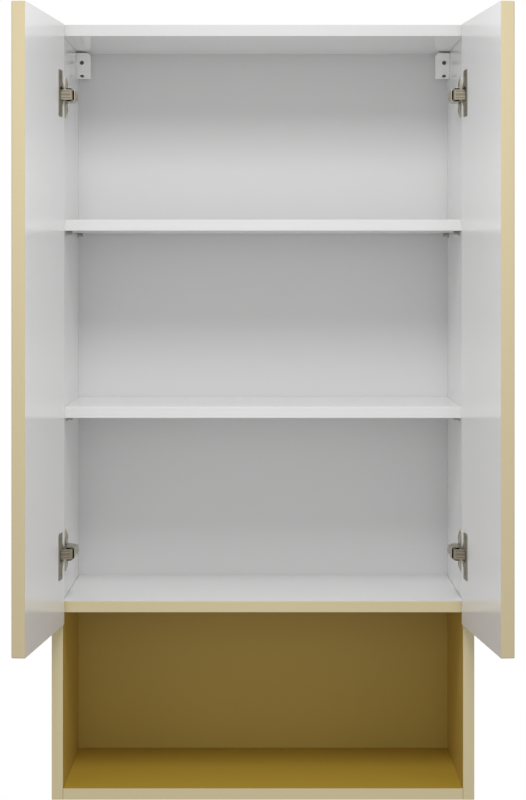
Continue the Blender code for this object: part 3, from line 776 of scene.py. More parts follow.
@dataclass(frozen=True)
class Fibres(Finish):
    """Bare hardboard or MDF: brown, with a felt of fine fibres."""

    colour: Colour
    fibre: float = 0.0015
    felt_tone: float = 0.5
    cloud: float = 0.15
    cloud_tone: float = 0.16
    roughness: float = 0.75
    relief: float = 0.00006

    def paint(self, graph: Graph) -> None:
        """Add the fibreboard's nodes.

        Args:
            graph: The material's graph.
        """
        felt = graph.noise(self.fibre, detail=5.0, stretch=(1.0, 1.0, 3.0))
        clouds = graph.noise(self.cloud, detail=3.0)
        tone = graph.swing(felt, self.felt_tone, graph.swing(clouds, self.cloud_tone, 1.0))
        graph.shade(felt, self.relief, Base_Color=graph.tint(linear(self.colour), tone),
                    Roughness=graph.swing(felt, RAW_GLOSS, self.roughness))


@dataclass(frozen=True)
class Beech(Finish):
    """Raw beech with its short flecks, the grain along the width."""

    pale: Colour
    dark: Colour
    grain: float = 0.0016
    fleck: float = 0.0007
    fleck_share: float = 0.4
    roughness: float = 0.65
    relief: float = 0.00008

    def paint(self, graph: Graph) -> None:
        """Add the wood's nodes.

        Args:
            graph: The material's graph.
        """
        grain = graph.noise(self.grain, detail=4.0, stretch=(0.05, 1.0, 1.0))
        flecks = graph.noise(self.fleck, stretch=(0.2, 1.0, 1.0))
        lines = graph.math("MULTIPLY", grain, 1.0 - self.fleck_share)
        share = graph.math("MULTIPLY_ADD", flecks, self.fleck_share, lines)
        mixed = graph.mix(share, linear(self.dark), linear(self.pale))
        rough = graph.swing(grain, RAW_GLOSS, self.roughness)
        graph.shade(grain, self.relief, Base_Color=mixed, Roughness=rough)


WHITE_FACE = Coating("white_melamine", "white_board", (243, 243, 243), 0.17, 0.3, pebble_depth=0.000008)
WHITE_BAND = Coating("white_edge_band", "white_board", (218, 218, 218), 0.30, pebble_size=0.0012)
WHITE_BACK = Coating("white_thin_back", "white_board", (219, 219, 219), 0.34)
KHAKI_FACE = Coating("khaki_film", "khaki_board", (197, 183, 147), 0.50, 0.5, pebble_size=0.0006)
KHAKI_BAND = Coating("khaki_edge_band", "khaki_board", (204, 191, 152), 0.50, 0.5, pebble_size=0.0012)
NICHE_FLOOR = Coating("niche_floor_film", "khaki_board", (186, 156, 58), 0.45, 0.35, pebble_size=0.0006)
NICHE_FACE = Coating("niche_film", "khaki_board", (194, 167, 82), 0.45, 0.45, pebble_size=0.0006)
# A darker copy of the niche film for the niche's back: painted shade deep in the niche.
SHADED_NICHE_BACK = Coating("niche_thin_back", "khaki_board", (184, 159, 78), 0.45, 0.45, pebble_size=0.0006)
RAW_CHIPS = Chips("raw_chipboard", "khaki_board", (214, 190, 152), (140, 106, 70))
HARDBOARD = Fibres("hardboard_back", "khaki_board", (122, 88, 58))
RAW_MDF = Fibres("bored_mdf", "khaki_board", (168, 138, 98), 0.0008)
NICKEL = Plating("nickel_plate", "nickel", (140, 134, 119), (176, 166, 148), 0.44)
# A lighter copy of the nickel for the arms and plates: painted light, where they catch more of it.
LIT_NICKEL = Plating("bright_nickel_plate", "nickel", (180, 175, 156), (214, 207, 188), 0.38)
# A darker copy of the nickel for the link: painted shade against the lamp's reflection on it.
SHADED_LINK_NICKEL = Plating("drawn_nickel_plate", "nickel", (136, 129, 115), (178, 169, 152), 0.46)
# Darker nickel on the floors of the link's grooves: painted shade in the grooves.
GROOVE_SHADE_NICKEL = Plating("dull_nickel_plate", "nickel", (116, 109, 96), (138, 131, 116), 0.50)
# Black steel on the arm's channel and nose faces and on its spring: painted shade in the mouth round the
# link.
SHADE_BLACK_STEEL = Plating("black_spring_steel", "nickel", (30, 27, 22), (46, 42, 36), 0.55)
ZINC = Plating("zinc_plate", "zinc", (150, 150, 150), (190, 190, 190), 0.40)
# A darker copy of the zinc for the hangers' screws: painted shade in their bores.
SHADED_ZINC = Plating("dark_zinc_plate", "zinc", (104, 104, 106), (132, 132, 134), 0.45)
CASE_WHITE = Coating("moulded_case", "white_plastic", (248, 248, 247), 0.42, 1.0, pebble_size=0.0010,
                     pebble_depth=0.00004)
BEECH = Beech("beech_dowel", "beech", (214, 184, 142), (176, 134, 92))


class Workshop:
    """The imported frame, and what puts finished pieces on it."""

    def __init__(self, frame: dict[str, Any]) -> None:
        """Note which body carries each node and how each joint turns.

        Args:
            frame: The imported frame, as loaded.
        """
        self.nodes = frame["nodes"]
        self.joints = {joint["name"]: joint for joint in frame["joints"]}
        groups = frame["record"]["behaviour"]["bodies"]
        self.carrier = {node: body for body, members in groups.items() for node in members}

    def mount(self, piece: Piece, node: str, finishes: Sequence[Finish],
              choose: Callable[[Vector, Vector], int] | None = None, stands_for: bool = True) -> None:
        """Dress a finished piece and let it ride with a node's body.

        Args:
            piece: The piece, modelled in place.
            node: The solid that it stands for or sits on.
            finishes: Its finishes, the main one first.
            choose: Gives a face's finish by its middle and its normal; without it, faces keep theirs.
            stands_for: False for a piece that is only part of the solid.
        """
        faces = piece.data.polygons
        indices = [choose(face.center, face.normal) if choose else face.material_index for face in faces]
        piece.data.materials.clear()
        for finish in finishes:
            piece.data.materials.append(finish.material())
        faces.foreach_set("material_index", indices)
        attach(piece, self.carrier[node])
        if stands_for:
            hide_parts(node)
        log.info("%s on %s, %d faces", piece.name, self.carrier[node], len(piece.data.polygons))

    def open_turn(self, side: Side) -> Matrix:
        """Return the move that takes a side's shut door to its place at rest.

        Args:
            side: The door's side.

        Returns:
            The turn about the door's joint.
        """
        joint = self.joints[f"{side.word}_door_swing"]
        place = Matrix.Translation(joint["pos_m"])
        angle = math.radians(joint["range_deg"][1])
        return place @ Matrix.Rotation(-angle, 4, Vector(joint["axis"])) @ place.inverted()

    @staticmethod
    def inner_face(side: Side) -> float:
        """Return where a side panel's inner face lies."""
        low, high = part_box(f"side_panel_{side.word}")
        return high.x if side is Side.LEFT else low.x

    def corner(self, side: Side, z: float) -> Matrix:
        """Return the frame of a side: X from its outer face inward, Y from its front rearward.

        Args:
            side: The side.
            z: Height of the frame.

        Returns:
            The frame; a right-hand one is a left-hand one upside down.
        """
        low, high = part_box(f"side_panel_{side.word}")
        outer = low.x if side is Side.LEFT else high.x
        frame = Matrix.Translation((outer, low.y, z))
        return frame if side is Side.LEFT else frame @ HALF_TURN


@dataclass
class Bore:
    """A round hole in a side panel's inner face."""

    y: float
    z: float
    radius: float
    depth: float


@dataclass
class Carcass:
    """Sides, fixed boards, loose shelves and thin backs."""

    shop: Workshop
    eased: float = 0.0008
    band: float = 0.0010
    steps: int = 4
    shelf_ends: float = 0.0003
    shelf_rear: float = 0.0014
    back_edge: float = 0.0002

    def build(self, bores: dict[Side, list[Bore]]) -> None:
        """Model and dress every board.

        Args:
            bores: The holes that fittings need in each side.
        """
        for side in Side:
            self.build_side(side, bores[side])
        for name in ("top", "divider", "bottom"):
            self.build_fixed(name)
        for level in Level:
            self.build_shelf(level)
        for node in ("back_panel", "niche_back_panel"):
            self.build_back(node)
        for node in self.dowels():
            finished = self.shop.nodes[node]
            finished.data.materials.clear()
            finished.data.materials.append(BEECH.material())

    def plank(self, node: str, axis: int, ends: float = 0.0, rear: float = 0.0) -> Piece:
        """Model a plain board in a solid's place, the edges along one axis eased.

        Args:
            node: The solid.
            axis: The axis that the eased edges run along.
            ends: How far its ends reach past the solid.
            rear: How far its rear reaches past the solid.

        Returns:
            The board.
        """
        low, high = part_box(node)
        board = Bench.block(f"{node}_board", low - Vector((ends, 0.0, 0.0)), high + Vector((ends, rear, 0.0)))
        Bench.round_edges(board, lambda edge: runs_along(edge, axis), self.eased, self.steps)
        return board

    def groove(self, node: str, reach: float) -> Piece:
        """Return the cutter of a back's groove, as deep as the back reaches.

        Args:
            node: The back that the groove takes.
            reach: Extra length at both ends.

        Returns:
            The cutter.
        """
        low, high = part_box(node)
        room = Vector((2 * FIT, FIT, 2 * FIT + reach))
        return Bench.block("groove", low - room, high + room)

    def dowels(self, name: str = "", side: Side | None = None) -> list[str]:
        """Return the dowel nodes of a fixed board, a side, or all.

        Args:
            name: The fixed board, or nothing for all.
            side: The side, or nothing for both.

        Returns:
            The nodes' names.
        """
        hand = side.word if side else ""
        return [node for node in self.shop.nodes
                if node.startswith(f"dowel_{name}") and f"_{hand}" in node]

    def drill_dowels(self, board: Piece, nodes: Sequence[str]) -> None:
        """Drill a board for its dowels.

        Args:
            board: The board.
            nodes: The dowels.
        """
        for node in nodes:
            low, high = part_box(node)
            centre = (low + high) / 2
            radius = (high.z - low.z) / 2 + FIT
            ends = [(x, centre.y, centre.z) for x in (low.x - FIT, high.x + FIT)]
            Bench.cut(board, Bench.rod("dowel_hole", radius, *ends, sides=24))

    def build_side(self, side: Side, bores: Sequence[Bore]) -> None:
        """Model one side: white inside the cupboard, khaki inside the niche and outside.

        Args:
            side: The side.
            bores: The holes in its inner face.
        """
        node = f"side_panel_{side.word}"
        board = self.plank(node, Z)
        low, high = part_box(node)
        inner = self.shop.inner_face(side)
        split = box_middle("divider_panel", Z)
        Bench.score(board, Z, split)
        Bench.cut(board, self.groove("back_panel", high.z))
        self.drill_dowels(board, self.dowels(side=side))
        for bore in bores:
            ends = [(inner + side.value * x, bore.y, bore.z) for x in (-bore.depth, bore.depth)]
            Bench.cut(board, Bench.rod("bore", bore.radius, *ends, sides=24))
        Bench.smooth(board)

        def choose(place: Vector, normal: Vector) -> int:
            """Give each face its finish.

            Args:
                place: The face's middle.
                normal: Its normal.

            Returns:
                The finish's number.
            """
            if place.y < low.y + self.band:
                return 1
            if abs(normal.y) > LEANING:
                return 4
            if normal.x * side.value < -FACING:
                buried = abs(place.x - inner) > 10 * NEAR
                return 4 if buried else (2 if place.z > split else 3)
            return 0

        finishes = (KHAKI_FACE, KHAKI_BAND, WHITE_FACE, NICHE_FACE, RAW_CHIPS)
        self.shop.mount(board, node, finishes, choose)

    def build_fixed(self, name: str) -> None:
        """Model the top, the divider or the bottom.

        Args:
            name: Which of them.
        """
        node = f"{name}_panel"
        board = self.plank(node, X)
        low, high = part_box(node)
        for back in ("back_panel", "niche_back_panel"):
            Bench.cut(board, self.groove(back, 0.0))
        self.drill_dowels(board, self.dowels(name))
        Bench.smooth(board)
        above, below, band = {"top": (WHITE_FACE, WHITE_FACE, WHITE_BAND),
                              "divider": (WHITE_FACE, NICHE_FACE, KHAKI_BAND),
                              "bottom": (NICHE_FLOOR, KHAKI_FACE, KHAKI_BAND)}[name]

        def choose(place: Vector, normal: Vector) -> int:
            """Give each face its finish.

            Args:
                place: The face's middle.
                normal: Its normal.

            Returns:
                The finish's number.
            """
            if place.y < low.y + self.band:
                return 2
            if abs(normal.z) < LEANING:
                return 3
            on_skin = min(abs(place.z - low.z), abs(place.z - high.z)) < self.eased
            return (0 if normal.z > 0 else 1) if on_skin else 3

        self.shop.mount(board, node, (above, below, band, RAW_CHIPS), choose)

    def build_shelf(self, level: Level) -> None:
        """Model one loose shelf, banded at the front.

        Args:
            level: Which shelf.
        """
        node = f"{level.value}_shelf"
        board = self.plank(node, X, self.shelf_ends, self.shelf_rear)
        Bench.smooth(board)
        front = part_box(node)[0].y + self.band

        def choose(place: Vector, normal: Vector) -> int:
            """Give each face its finish."""
            return 1 if place.y < front or abs(normal.z) < LEANING else 0

        self.shop.mount(board, node, (WHITE_FACE, WHITE_BAND), choose)

    def build_back(self, node: str) -> None:
        """Model one thin back, coated in front and bare behind.

        Args:
            node: Which back.
        """
        board = Bench.block(f"{node}_board", *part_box(node))
        if node == "back_panel":
            for side in Side:
                Bench.cut(board, Hanger.hook_slot(side))
        Bench.soften(board, self.back_edge)
        Bench.smooth(board)
        front = WHITE_BACK if node == "back_panel" else SHADED_NICHE_BACK

        def choose(place: Vector, normal: Vector) -> int:
            """Give each face its finish."""
            return 0 if normal.y < -FACING else 1

        self.shop.mount(board, node, (front, HARDBOARD), choose)


@dataclass
class Screw:
    """A cross-recessed countersunk screw: the top of its head at the origin, facing +Z.

    The slots' depth and reach, and where the neck starts, are shares of the head's depth and radius;
    the neck and the tip are shares of the shank's radius.
    """

    head_radius: float
    head_depth: float
    shank_radius: float
    shank_length: float
    proud: float = 0.0002
    slot_width: float = 0.0009
    slot_depth: float = 0.7
    slot_reach: float = 0.62
    neck: float = 0.94
    neck_start: float = 0.8
    tip: float = 0.5

    def build(self, name: str) -> Piece:
        """Model the screw.

        Args:
            name: Name of the piece.

        Returns:
            The screw, as a pattern to copy.
        """
        screw = Bench.rod(name, self.shank_radius, (0, 0, -self.head_depth), (0, 0, self.proud), sides=24,
                          end_radius=self.head_radius)
        Bench.round_edges(screw, lambda edge: middle(edge).z > 0, self.proud, steps=2)
        start = (0, 0, -self.neck_start * self.head_depth)
        shank = Bench.rod("shank", self.neck * self.shank_radius, start, (0, 0, -self.shank_length), sides=16,
                          end_radius=self.tip * self.shank_radius)
        Bench.join(screw, shank)
        Bench.cross(screw, self.slot_reach * self.head_radius, self.slot_width,
                    self.slot_depth * self.head_depth)
        Bench.smooth(screw)
        return screw


@dataclass
class Hinge:
    """Four concealed hinges, each modelled in the frame of its corner of the cabinet."""

    shop: Workshop
    board: float = 0.016
    door_gap: float = 0.002
    pressed_edge: float = 0.0003
    inner_corner: float = 0.002
    cup_x: float = 0.0225
    cup_radius: float = 0.0175
    cup_depth: float = 0.0112
    cup_wall: float = 0.0008
    cup_rim: float = 0.0008
    rim_height: float = 0.0003
    mouth_half: float = 0.0082
    ear_mouth_half: float = 0.0099
    flange_low: float = 0.019
    flange_width: float = 0.0295
    flange_height: float = 0.0654
    flange_thickness: float = 0.0007
    flange_corner: float = 0.003
    cup_screw_spread: float = 0.050
    arm_low: float = 0.0213
    arm_high: float = 0.033
    arm_nose: float = -0.0112
    arm_tail: float = 0.058
    arm_half: float = 0.0092
    arm_wall: float = 0.0010
    arm_bend: float = 0.0042
    ear_corner: float = 0.0030
    web_start: float = -0.001
    tail_start: float = 0.040
    tail_half: float = 0.0058
    arm_screws: tuple[float, float] = (0.020, 0.044)
    link_height: float = 0.0144
    link_thickness: float = 0.0016
    link_reach: float = 0.0083
    link_side: float = 0.0016
    link_shoulder: float = 0.0102
    link_bend: float = 0.0010
    bend_steps: int = 5
    link_rim: float = 0.0005
    link_tongue: float = 0.0009
    groove_depth: float = 0.0005
    groove_end: float = 0.0012
    grooves: tuple[tuple[float, float], ...] = ((-0.0046, 0.0020), (0.0, 0.0038), (0.0046, 0.0020))
    eye_radius: float = 0.0022
    spring_start: float = 0.0015
    spring_gap: float = 0.0005
    spring_wall: float = 0.001
    spring_hollow: float = 0.006
    spring_edge: float = 0.0002
    pin_radius: float = 0.0015
    pin_head_radius: float = 0.0024
    pin_head: float = 0.0003
    pin_crown: float = 0.7
    plate_y: float = 0.037
    plate_half: float = 0.0300
    wing_width: float = 0.012
    wing_thickness: float = 0.0036
    wing_shoulder: float = 0.0226
    wing_edge: float = 0.0013
    wing_corner: float = 0.0020
    tip_thickness: float = 0.0008
    rib_start: float = 0.022
    rib_end: float = 0.055
    rib_out: float = 0.0245
    plate_screw_spread: float = 0.036

    CUP_SCREW = Screw(0.0036, 0.0006, 0.0016, 0.009)
    PLATE_SCREW = Screw(0.0040, 0.0018, 0.0020, 0.013)
    ARM_SCREW = Screw(0.0040, 0.0008, 0.0020, 0.006, 0.0010)

    def heights(self, side: Side) -> dict[Level, float]:
        """Return the heights of a side's two hinges."""
        return {level: box_middle(f"hinge_plate_{side.word}_{level.value}", Z) for level in Level}

    def bores(self, side: Side) -> list[Bore]:
        """Return the holes that the plate screws need in a side.

        Args:
            side: The side.

        Returns:
            The holes.
        """
        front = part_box(f"side_panel_{side.word}")[0].y
        half = self.plate_screw_spread / 2
        return [Bore(front + self.plate_y, z + end * half, self.PLATE_SCREW.shank_radius + FIT,
                     self.PLATE_SCREW.shank_length - self.wing_thickness + FIT)
                for z in self.heights(side).values() for end in (-1, 1)]

    def build(self) -> None:
        """Model each piece once, copy it to the four hinges and dress it."""
        patterns = {"plate": (self.plate(), (LIT_NICKEL,)),
                    "arm": (self.arm(), (LIT_NICKEL, SHADE_BLACK_STEEL)),
                    "pin": (self.pin(), (NICKEL,)),
                    "link": (self.link(), (SHADED_LINK_NICKEL, GROOVE_SHADE_NICKEL)),
                    "cup": (self.cup(), (NICKEL,))}
        spring = self.spring()
        screws = {"cup": self.CUP_SCREW.build("cup_screw"), "plate": self.PLATE_SCREW.build("plate_screw"),
                  "arm": self.ARM_SCREW.build("arm_screw")}
        seats = self.screw_seats()
        for side in Side:
            for level, z in self.heights(side).items():
                tag = f"{side.word}_{level.value}"
                frame = self.shop.corner(side, z)
                frames = {name: frame for name in patterns}
                frames["cup"] = self.shop.open_turn(side) @ frame
                for name, (pattern, finishes) in patterns.items():
                    node = f"hinge_{name}_{tag}"
                    self.shop.mount(Bench.copy(pattern, f"{node}_pressing", frames[name]), node, finishes)
                self.shop.mount(Bench.copy(spring, f"hinge_spring_{tag}", frame), f"hinge_arm_{tag}",
                                (SHADE_BLACK_STEEL,), stands_for=False)
                for name, places in seats.items():
                    for number, place in enumerate(places, 1):
                        title = f"{name}_screw_{tag}_{number}"
                        self.shop.mount(Bench.copy(screws[name], title, frames[name] @ place),
                                        f"hinge_{name}_{tag}", (NICKEL,), stands_for=False)
        Bench.drop(*(pattern for pattern, _ in patterns.values()), spring, *screws.values())

    def screw_seats(self) -> dict[str, list[Matrix]]:
        """Return where each hinge's screws sit, in the hinge's frame.

        Returns:
            The seats on the cup, the plate and the arm.
        """
        facing_rear = Matrix.Rotation(-math.pi / 2, 4, "X")
        facing_in = Matrix.Rotation(math.pi / 2, 4, "Y")
        flange_face = self.flange_thickness - self.door_gap
        cup_x = self.flange_low + self.flange_width / 2
        cup = [Matrix.Translation((cup_x, flange_face, end * self.cup_screw_spread / 2)) @ facing_rear
               for end in (-1, 1)]
        wing_x = self.board + self.wing_thickness
        plate = [Matrix.Translation((wing_x, self.plate_y, end * self.plate_screw_spread / 2)) @ facing_in
                 for end in (-1, 1)]
        arm = [Matrix.Translation((self.arm_high, y, 0.0)) @ facing_in for y in self.arm_screws]
        return {"cup": cup, "plate": plate, "arm": arm}

    def countersink(self, piece: Piece, screw: Screw, seat: Matrix) -> None:
        """Sink the seat of a screw's head into a piece.

        Args:
            piece: The piece.
            screw: The screw.
            seat: Where it sits.
        """
        room = FIT / 2
        tool = Bench.rod("seat", screw.shank_radius + room, (0, 0, -screw.head_depth - room),
                         (0, 0, screw.proud + room), sides=24, end_radius=screw.head_radius + 2 * room)
        start = (0, 0, -screw.neck_start * screw.head_depth)
        Bench.join(tool, Bench.rod("hole", screw.shank_radius + room / 2, start,
                                   (0, 0, -screw.shank_length), sides=20))
        tool.data.transform(seat)
        Bench.cut(piece, tool)

    def cup(self) -> Piece:
        """Model the pressed cup with its flange and the link's mouth, in the shut door.

        Returns:
            The cup.
        """
        face = -self.door_gap
        top = face + self.flange_thickness
        half = self.flange_height / 2
        lift = FIT / 6
        cup = Bench.block("cup", (self.flange_low, face + lift, -half),
                          (self.flange_low + self.flange_width, top, half))
        Bench.round_edges(cup, lambda edge: runs_along(edge, Y), self.flange_corner, steps=5)
        floor = face - self.cup_depth
        Bench.join(cup, Bench.rod("rim", self.cup_radius + self.cup_rim, (self.cup_x, face, 0.0),
                                  (self.cup_x, face + self.rim_height, 0.0), sides=64),
                   Bench.rod("well", self.cup_radius, (self.cup_x, floor, 0.0),
                             (self.cup_x, face + self.rim_height / 2, 0.0), sides=64))
        reach = self.cup_radius - 2 * self.cup_wall
        inside = floor + 2 * self.cup_wall
        mouth = Bench.block("mouth", (self.cup_x - reach, inside, -self.mouth_half),
                            (self.cup_x + reach, top + CLEAR, self.mouth_half))
        Bench.round_edges(mouth, lambda edge: runs_along(edge, Y), self.inner_corner, steps=4)
        room = self.arm_bend / 2
        ears = Bench.block("ears", (self.arm_low - room, inside + lift, -self.ear_mouth_half),
                           (self.arm_high + room, top + 1.5 * CLEAR, self.ear_mouth_half))
        well = Bench.rod("inside", self.cup_radius - self.cup_wall, (self.cup_x, floor + self.cup_wall, 0.0),
                         (self.cup_x, face - lift, 0.0), sides=64)
        Bench.cut(cup, well, mouth, ears)
        Bench.soften(cup, self.pressed_edge)
        for seat in self.screw_seats()["cup"]:
            self.countersink(cup, self.CUP_SCREW, seat)
        Bench.smooth(cup)
        return cup

    def arm(self) -> Piece:
        """Model the channel-shaped arm, with two ears in front and a narrow tail.

        Returns:
            The arm.
        """
        low, high, half = self.arm_low, self.arm_high, self.arm_half
        arm = Bench.block("arm", (low, self.arm_nose, -half), (high, self.arm_tail, half))
        Bench.round_edges(arm, lambda edge: runs_along(edge, Y) and middle(edge).x > high - NEAR,
                          self.arm_bend, steps=5)
        inner = half - self.arm_wall
        channel = Bench.block("channel", (low - CLEAR, self.arm_nose - CLEAR, -inner),
                              (high - self.arm_wall, self.arm_tail + CLEAR, inner))
        Bench.round_edges(channel, lambda edge: runs_along(edge, Y) and middle(edge).x > low,
                          self.arm_bend - self.arm_wall, steps=5)
        nose = Bench.block("nose", (high - self.arm_bend, self.arm_nose - CLEAR, -half - CLEAR),
                           (high + CLEAR, self.web_start, half + CLEAR))
        Bench.round_edges(nose, lambda edge: runs_along(edge, Z) and middle(edge).y > self.arm_nose
                          and middle(edge).x < high, self.inner_corner, steps=4)
        Bench.cut(arm, channel, nose)
        Bench.round_edges(arm, lambda edge: runs_along(edge, Z) and middle(edge).y < self.arm_nose + NEAR,
                          self.ear_corner, steps=5)
        for end in (-1, 1):
            edges = sorted((end * self.tail_half, end * (half + CLEAR)))
            Bench.cut(arm, Bench.block("tail_side", (low - CLEAR, self.tail_start, edges[0]),
                                       (high + CLEAR, self.arm_tail + CLEAR, edges[1])))
        Bench.soften(arm, self.pressed_edge)
        for seat in self.screw_seats()["arm"]:
            self.countersink(arm, self.ARM_SCREW, seat)
        Bench.smooth(arm)
        # Faces inside the channel and at the nose take the black steel, as painted shade in the arm's mouth.
        for face in arm.data.polygons:
            place, normal = face.center, face.normal
            to_middle = Vector((low - place.x, 0.0, -place.z))
            in_channel = normal.dot(to_middle) > NEAR / 10
            at_nose = place.y < self.arm_nose + self.ear_corner and normal.y < -LEANING / 2
            face.material_index = int(in_channel or at_nose)
        return arm

    def spring(self) -> Piece:
        """Model the folded spring that fills the arm's nose behind the link; its black steel is painted
        shade.

        Returns:
            The spring.
        """
        half = self.arm_half - self.arm_wall - FIT
        high = self.arm_high - self.arm_wall - FIT
        spring = Bench.block("spring", (self.arm_low, self.spring_start, -half),
                             (high, self.rib_start - self.spring_gap, half))
        Bench.round_edges(spring, lambda edge: runs_along(edge, Y) and middle(edge).x > high - NEAR,
                          self.arm_bend - self.arm_wall, steps=4)
        with Bench.editing(spring, Kind.FACE):
            Bench.pick(spring, Kind.FACE, lambda face: face.normal.y < -FACING)
            bpy.ops.mesh.inset(thickness=self.spring_wall, depth=-self.spring_hollow)
        Bench.soften(spring, self.spring_edge)
        Bench.smooth(spring)
        return spring

    def pin(self) -> Piece:
        """Model the riveted pin that carries the link in the arm.

        Returns:
            The pin.
        """
        x, y = self.link_pin()
        seat = self.arm_half + FIT / 3
        pin = Bench.rod("pin", self.pin_radius, (x, y, -seat), (x, y, seat), sides=20)
        for end in (-1, 1):
            top = (x, y, end * (seat + self.pin_head))
            head = Bench.rod("head", self.pin_head_radius, (x, y, end * seat), top, sides=20,
                             end_radius=self.pin_crown * self.pin_head_radius)
            Bench.join(pin, head)
        Bench.smooth(pin)
        return pin

    def link_pin(self) -> Vector:
        """Return the link pin's place in the hinge's frame, X and Y alone."""
        return self.in_corner(self.shop.joints["left_upper_link_swing"]["pos_m"])

    def in_corner(self, point: Point) -> Vector:
        """Turn a point of the left side into the hinge's frame, X and Y alone."""
        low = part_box("side_panel_left")[0]
        return Vector((point[X] - low.x, point[Y] - low.y))

    def link_line(self) -> list[Vector]:
        """Work out the middle line of the link, from its pin round a bend and into the cup.

        Returns:
            The line's points, in X and Y of the hinge's frame.
        """
        joint = self.shop.joints["left_door_swing"]
        angle = math.radians(joint["range_deg"][1])
        pivot, pin = self.in_corner(joint["pos_m"]), self.link_pin()
        run = pin - pivot
        heading = math.atan2(run.y, run.x) - angle / 2
        tip = pivot + self.link_reach * Vector((math.cos(heading), math.sin(heading)))
        root = pin + Vector((self.link_side, 0.0))
        shoulder = root + Vector((0.0, -self.link_shoulder))
        bend = self.bend(root, shoulder, tip)
        return [root, *bend, tip + (tip - shoulder).normalized() * self.link_tongue]

    def bend(self, before: Vector, corner: Vector, after: Vector) -> list[Vector]:
        """Round one corner of a line.

        Args:
            before: The point before the corner.
            corner: The corner.
            after: The point after it.

        Returns:
            The points of the rounding.
        """
        start = corner + (before - corner).normalized() * self.link_bend
        end = corner + (after - corner).normalized() * self.link_bend
        shares = [step / self.bend_steps for step in range(self.bend_steps + 1)]
        return [start * (1 - t) ** 2 + corner * (2 * t * (1 - t)) + end * t ** 2 for t in shares]

    def link(self) -> Piece:
        """Model the bent link: a sheet with three pressed grooves and an eye on its pin.

        Returns:
            The link.
        """
        line = self.link_line()
        half = self.link_height / 2
        start = line[0]
        stub = CLEAR / 2
        link = Bench.block("link", (start.x, start.y, -half), (start.x + stub, start.y + stub, half))
        with Bench.editing(link, Kind.VERT):
            Bench.pick(link, Kind.VERT, lambda vert: (vert.co.xy - start).length > stub / 2)
            bpy.ops.mesh.delete(type="VERT")
        with Bench.editing(link, Kind.EDGE):
            bpy.ops.mesh.select_all(action="SELECT")
            for before, after in zip(line, line[1:]):
                step = after - before
                bpy.ops.mesh.extrude_edges_move(TRANSFORM_OT_translate={"value": (step.x, step.y, 0.0)})
        sheet = link.modifiers.new("sheet", "SOLIDIFY")
        sheet.thickness = self.link_thickness
        sheet.offset = 0.0
        Bench.apply(link, sheet)
        x, y = self.link_pin()
        Bench.join(link, Bench.rod("eye", self.eye_radius, (x, y, -half), (x, y, half), sides=28))
        ends = [(x, y, -2 * half), (x, y, 2 * half)]
        Bench.cut(link, Bench.rod("bore", self.pin_radius + FIT, *ends, sides=20))
        self.press_grooves(link, line[-2], line[-1])
        Bench.soften(link, self.link_rim, steps=3)
        Bench.smooth(link)
        return link

    def press_grooves(self, link: Piece, bend: Vector, tip: Vector) -> None:
        """Press three grooves along the front of the link's sheet, their floors painted darker as shade.

        Args:
            link: The sheet.
            bend: Where its front starts, on its middle line.
            tip: Where it ends.
        """
        along = (tip - bend).normalized()
        outward = Vector((-along.y, along.x))
        start = bend + along * self.groove_end
        length = (tip - bend).length
        floor = self.link_thickness / 2 - self.groove_depth
        turn = Matrix.Translation((*start, 0.0)) @ Matrix.Rotation(math.atan2(along.y, along.x), 4, "Z")
        for z, width in self.grooves:
            groove = Bench.block("groove", (0.0, floor, z - width / 2),
                                 (length, self.link_thickness, z + width / 2))
            groove.data.transform(turn)
            Bench.cut(link, groove)
        # The grooves' floors take the darker nickel, as painted shade.
        for face in link.data.polygons:
            height = (face.center.xy - start).dot(outward)
            face.material_index = int(abs(height - floor) < NEAR and face.normal.xy.dot(outward) > FACING)

    def plate(self) -> Piece:
        """Model the mounting plate: a rib for the arm and two wings with slanted tips.

        Returns:
            The plate.
        """
        base = self.board
        rib_half = self.arm_half - self.arm_wall - FIT
        wing_top = base + self.wing_thickness
        half_width = self.wing_width / 2
        wings = Bench.block("plate", (base, self.plate_y - half_width, -self.plate_half),
                            (wing_top, self.plate_y + half_width, self.plate_half))
        Bench.score(wings, Z, -self.wing_shoulder, self.wing_shoulder)
        with Bench.editing(wings, Kind.VERT):
            Bench.pick(wings, Kind.VERT, lambda vert: abs(vert.co.z) > self.plate_half - NEAR
                       and vert.co.x > wing_top - NEAR)
            bpy.ops.transform.translate(value=(self.tip_thickness - self.wing_thickness, 0.0, 0.0))
        Bench.round_edges(wings, lambda edge: abs(middle(edge).z) > self.plate_half - NEAR
                          and runs_along(edge, X), self.wing_corner, steps=5)
        Bench.slice_off(wings, (base + self.wing_edge, self.plate_y - half_width, 0.0), (1.0, -1.0, 0.0))
        Bench.join(wings, Bench.block("rib", (base, self.rib_start, -rib_half),
                                      (self.rib_out, self.rib_end, rib_half)))
        Bench.soften(wings, self.pressed_edge)
        for seat in self.screw_seats()["plate"]:
            self.countersink(wings, self.PLATE_SCREW, seat)
        Bench.smooth(wings)
        return wings


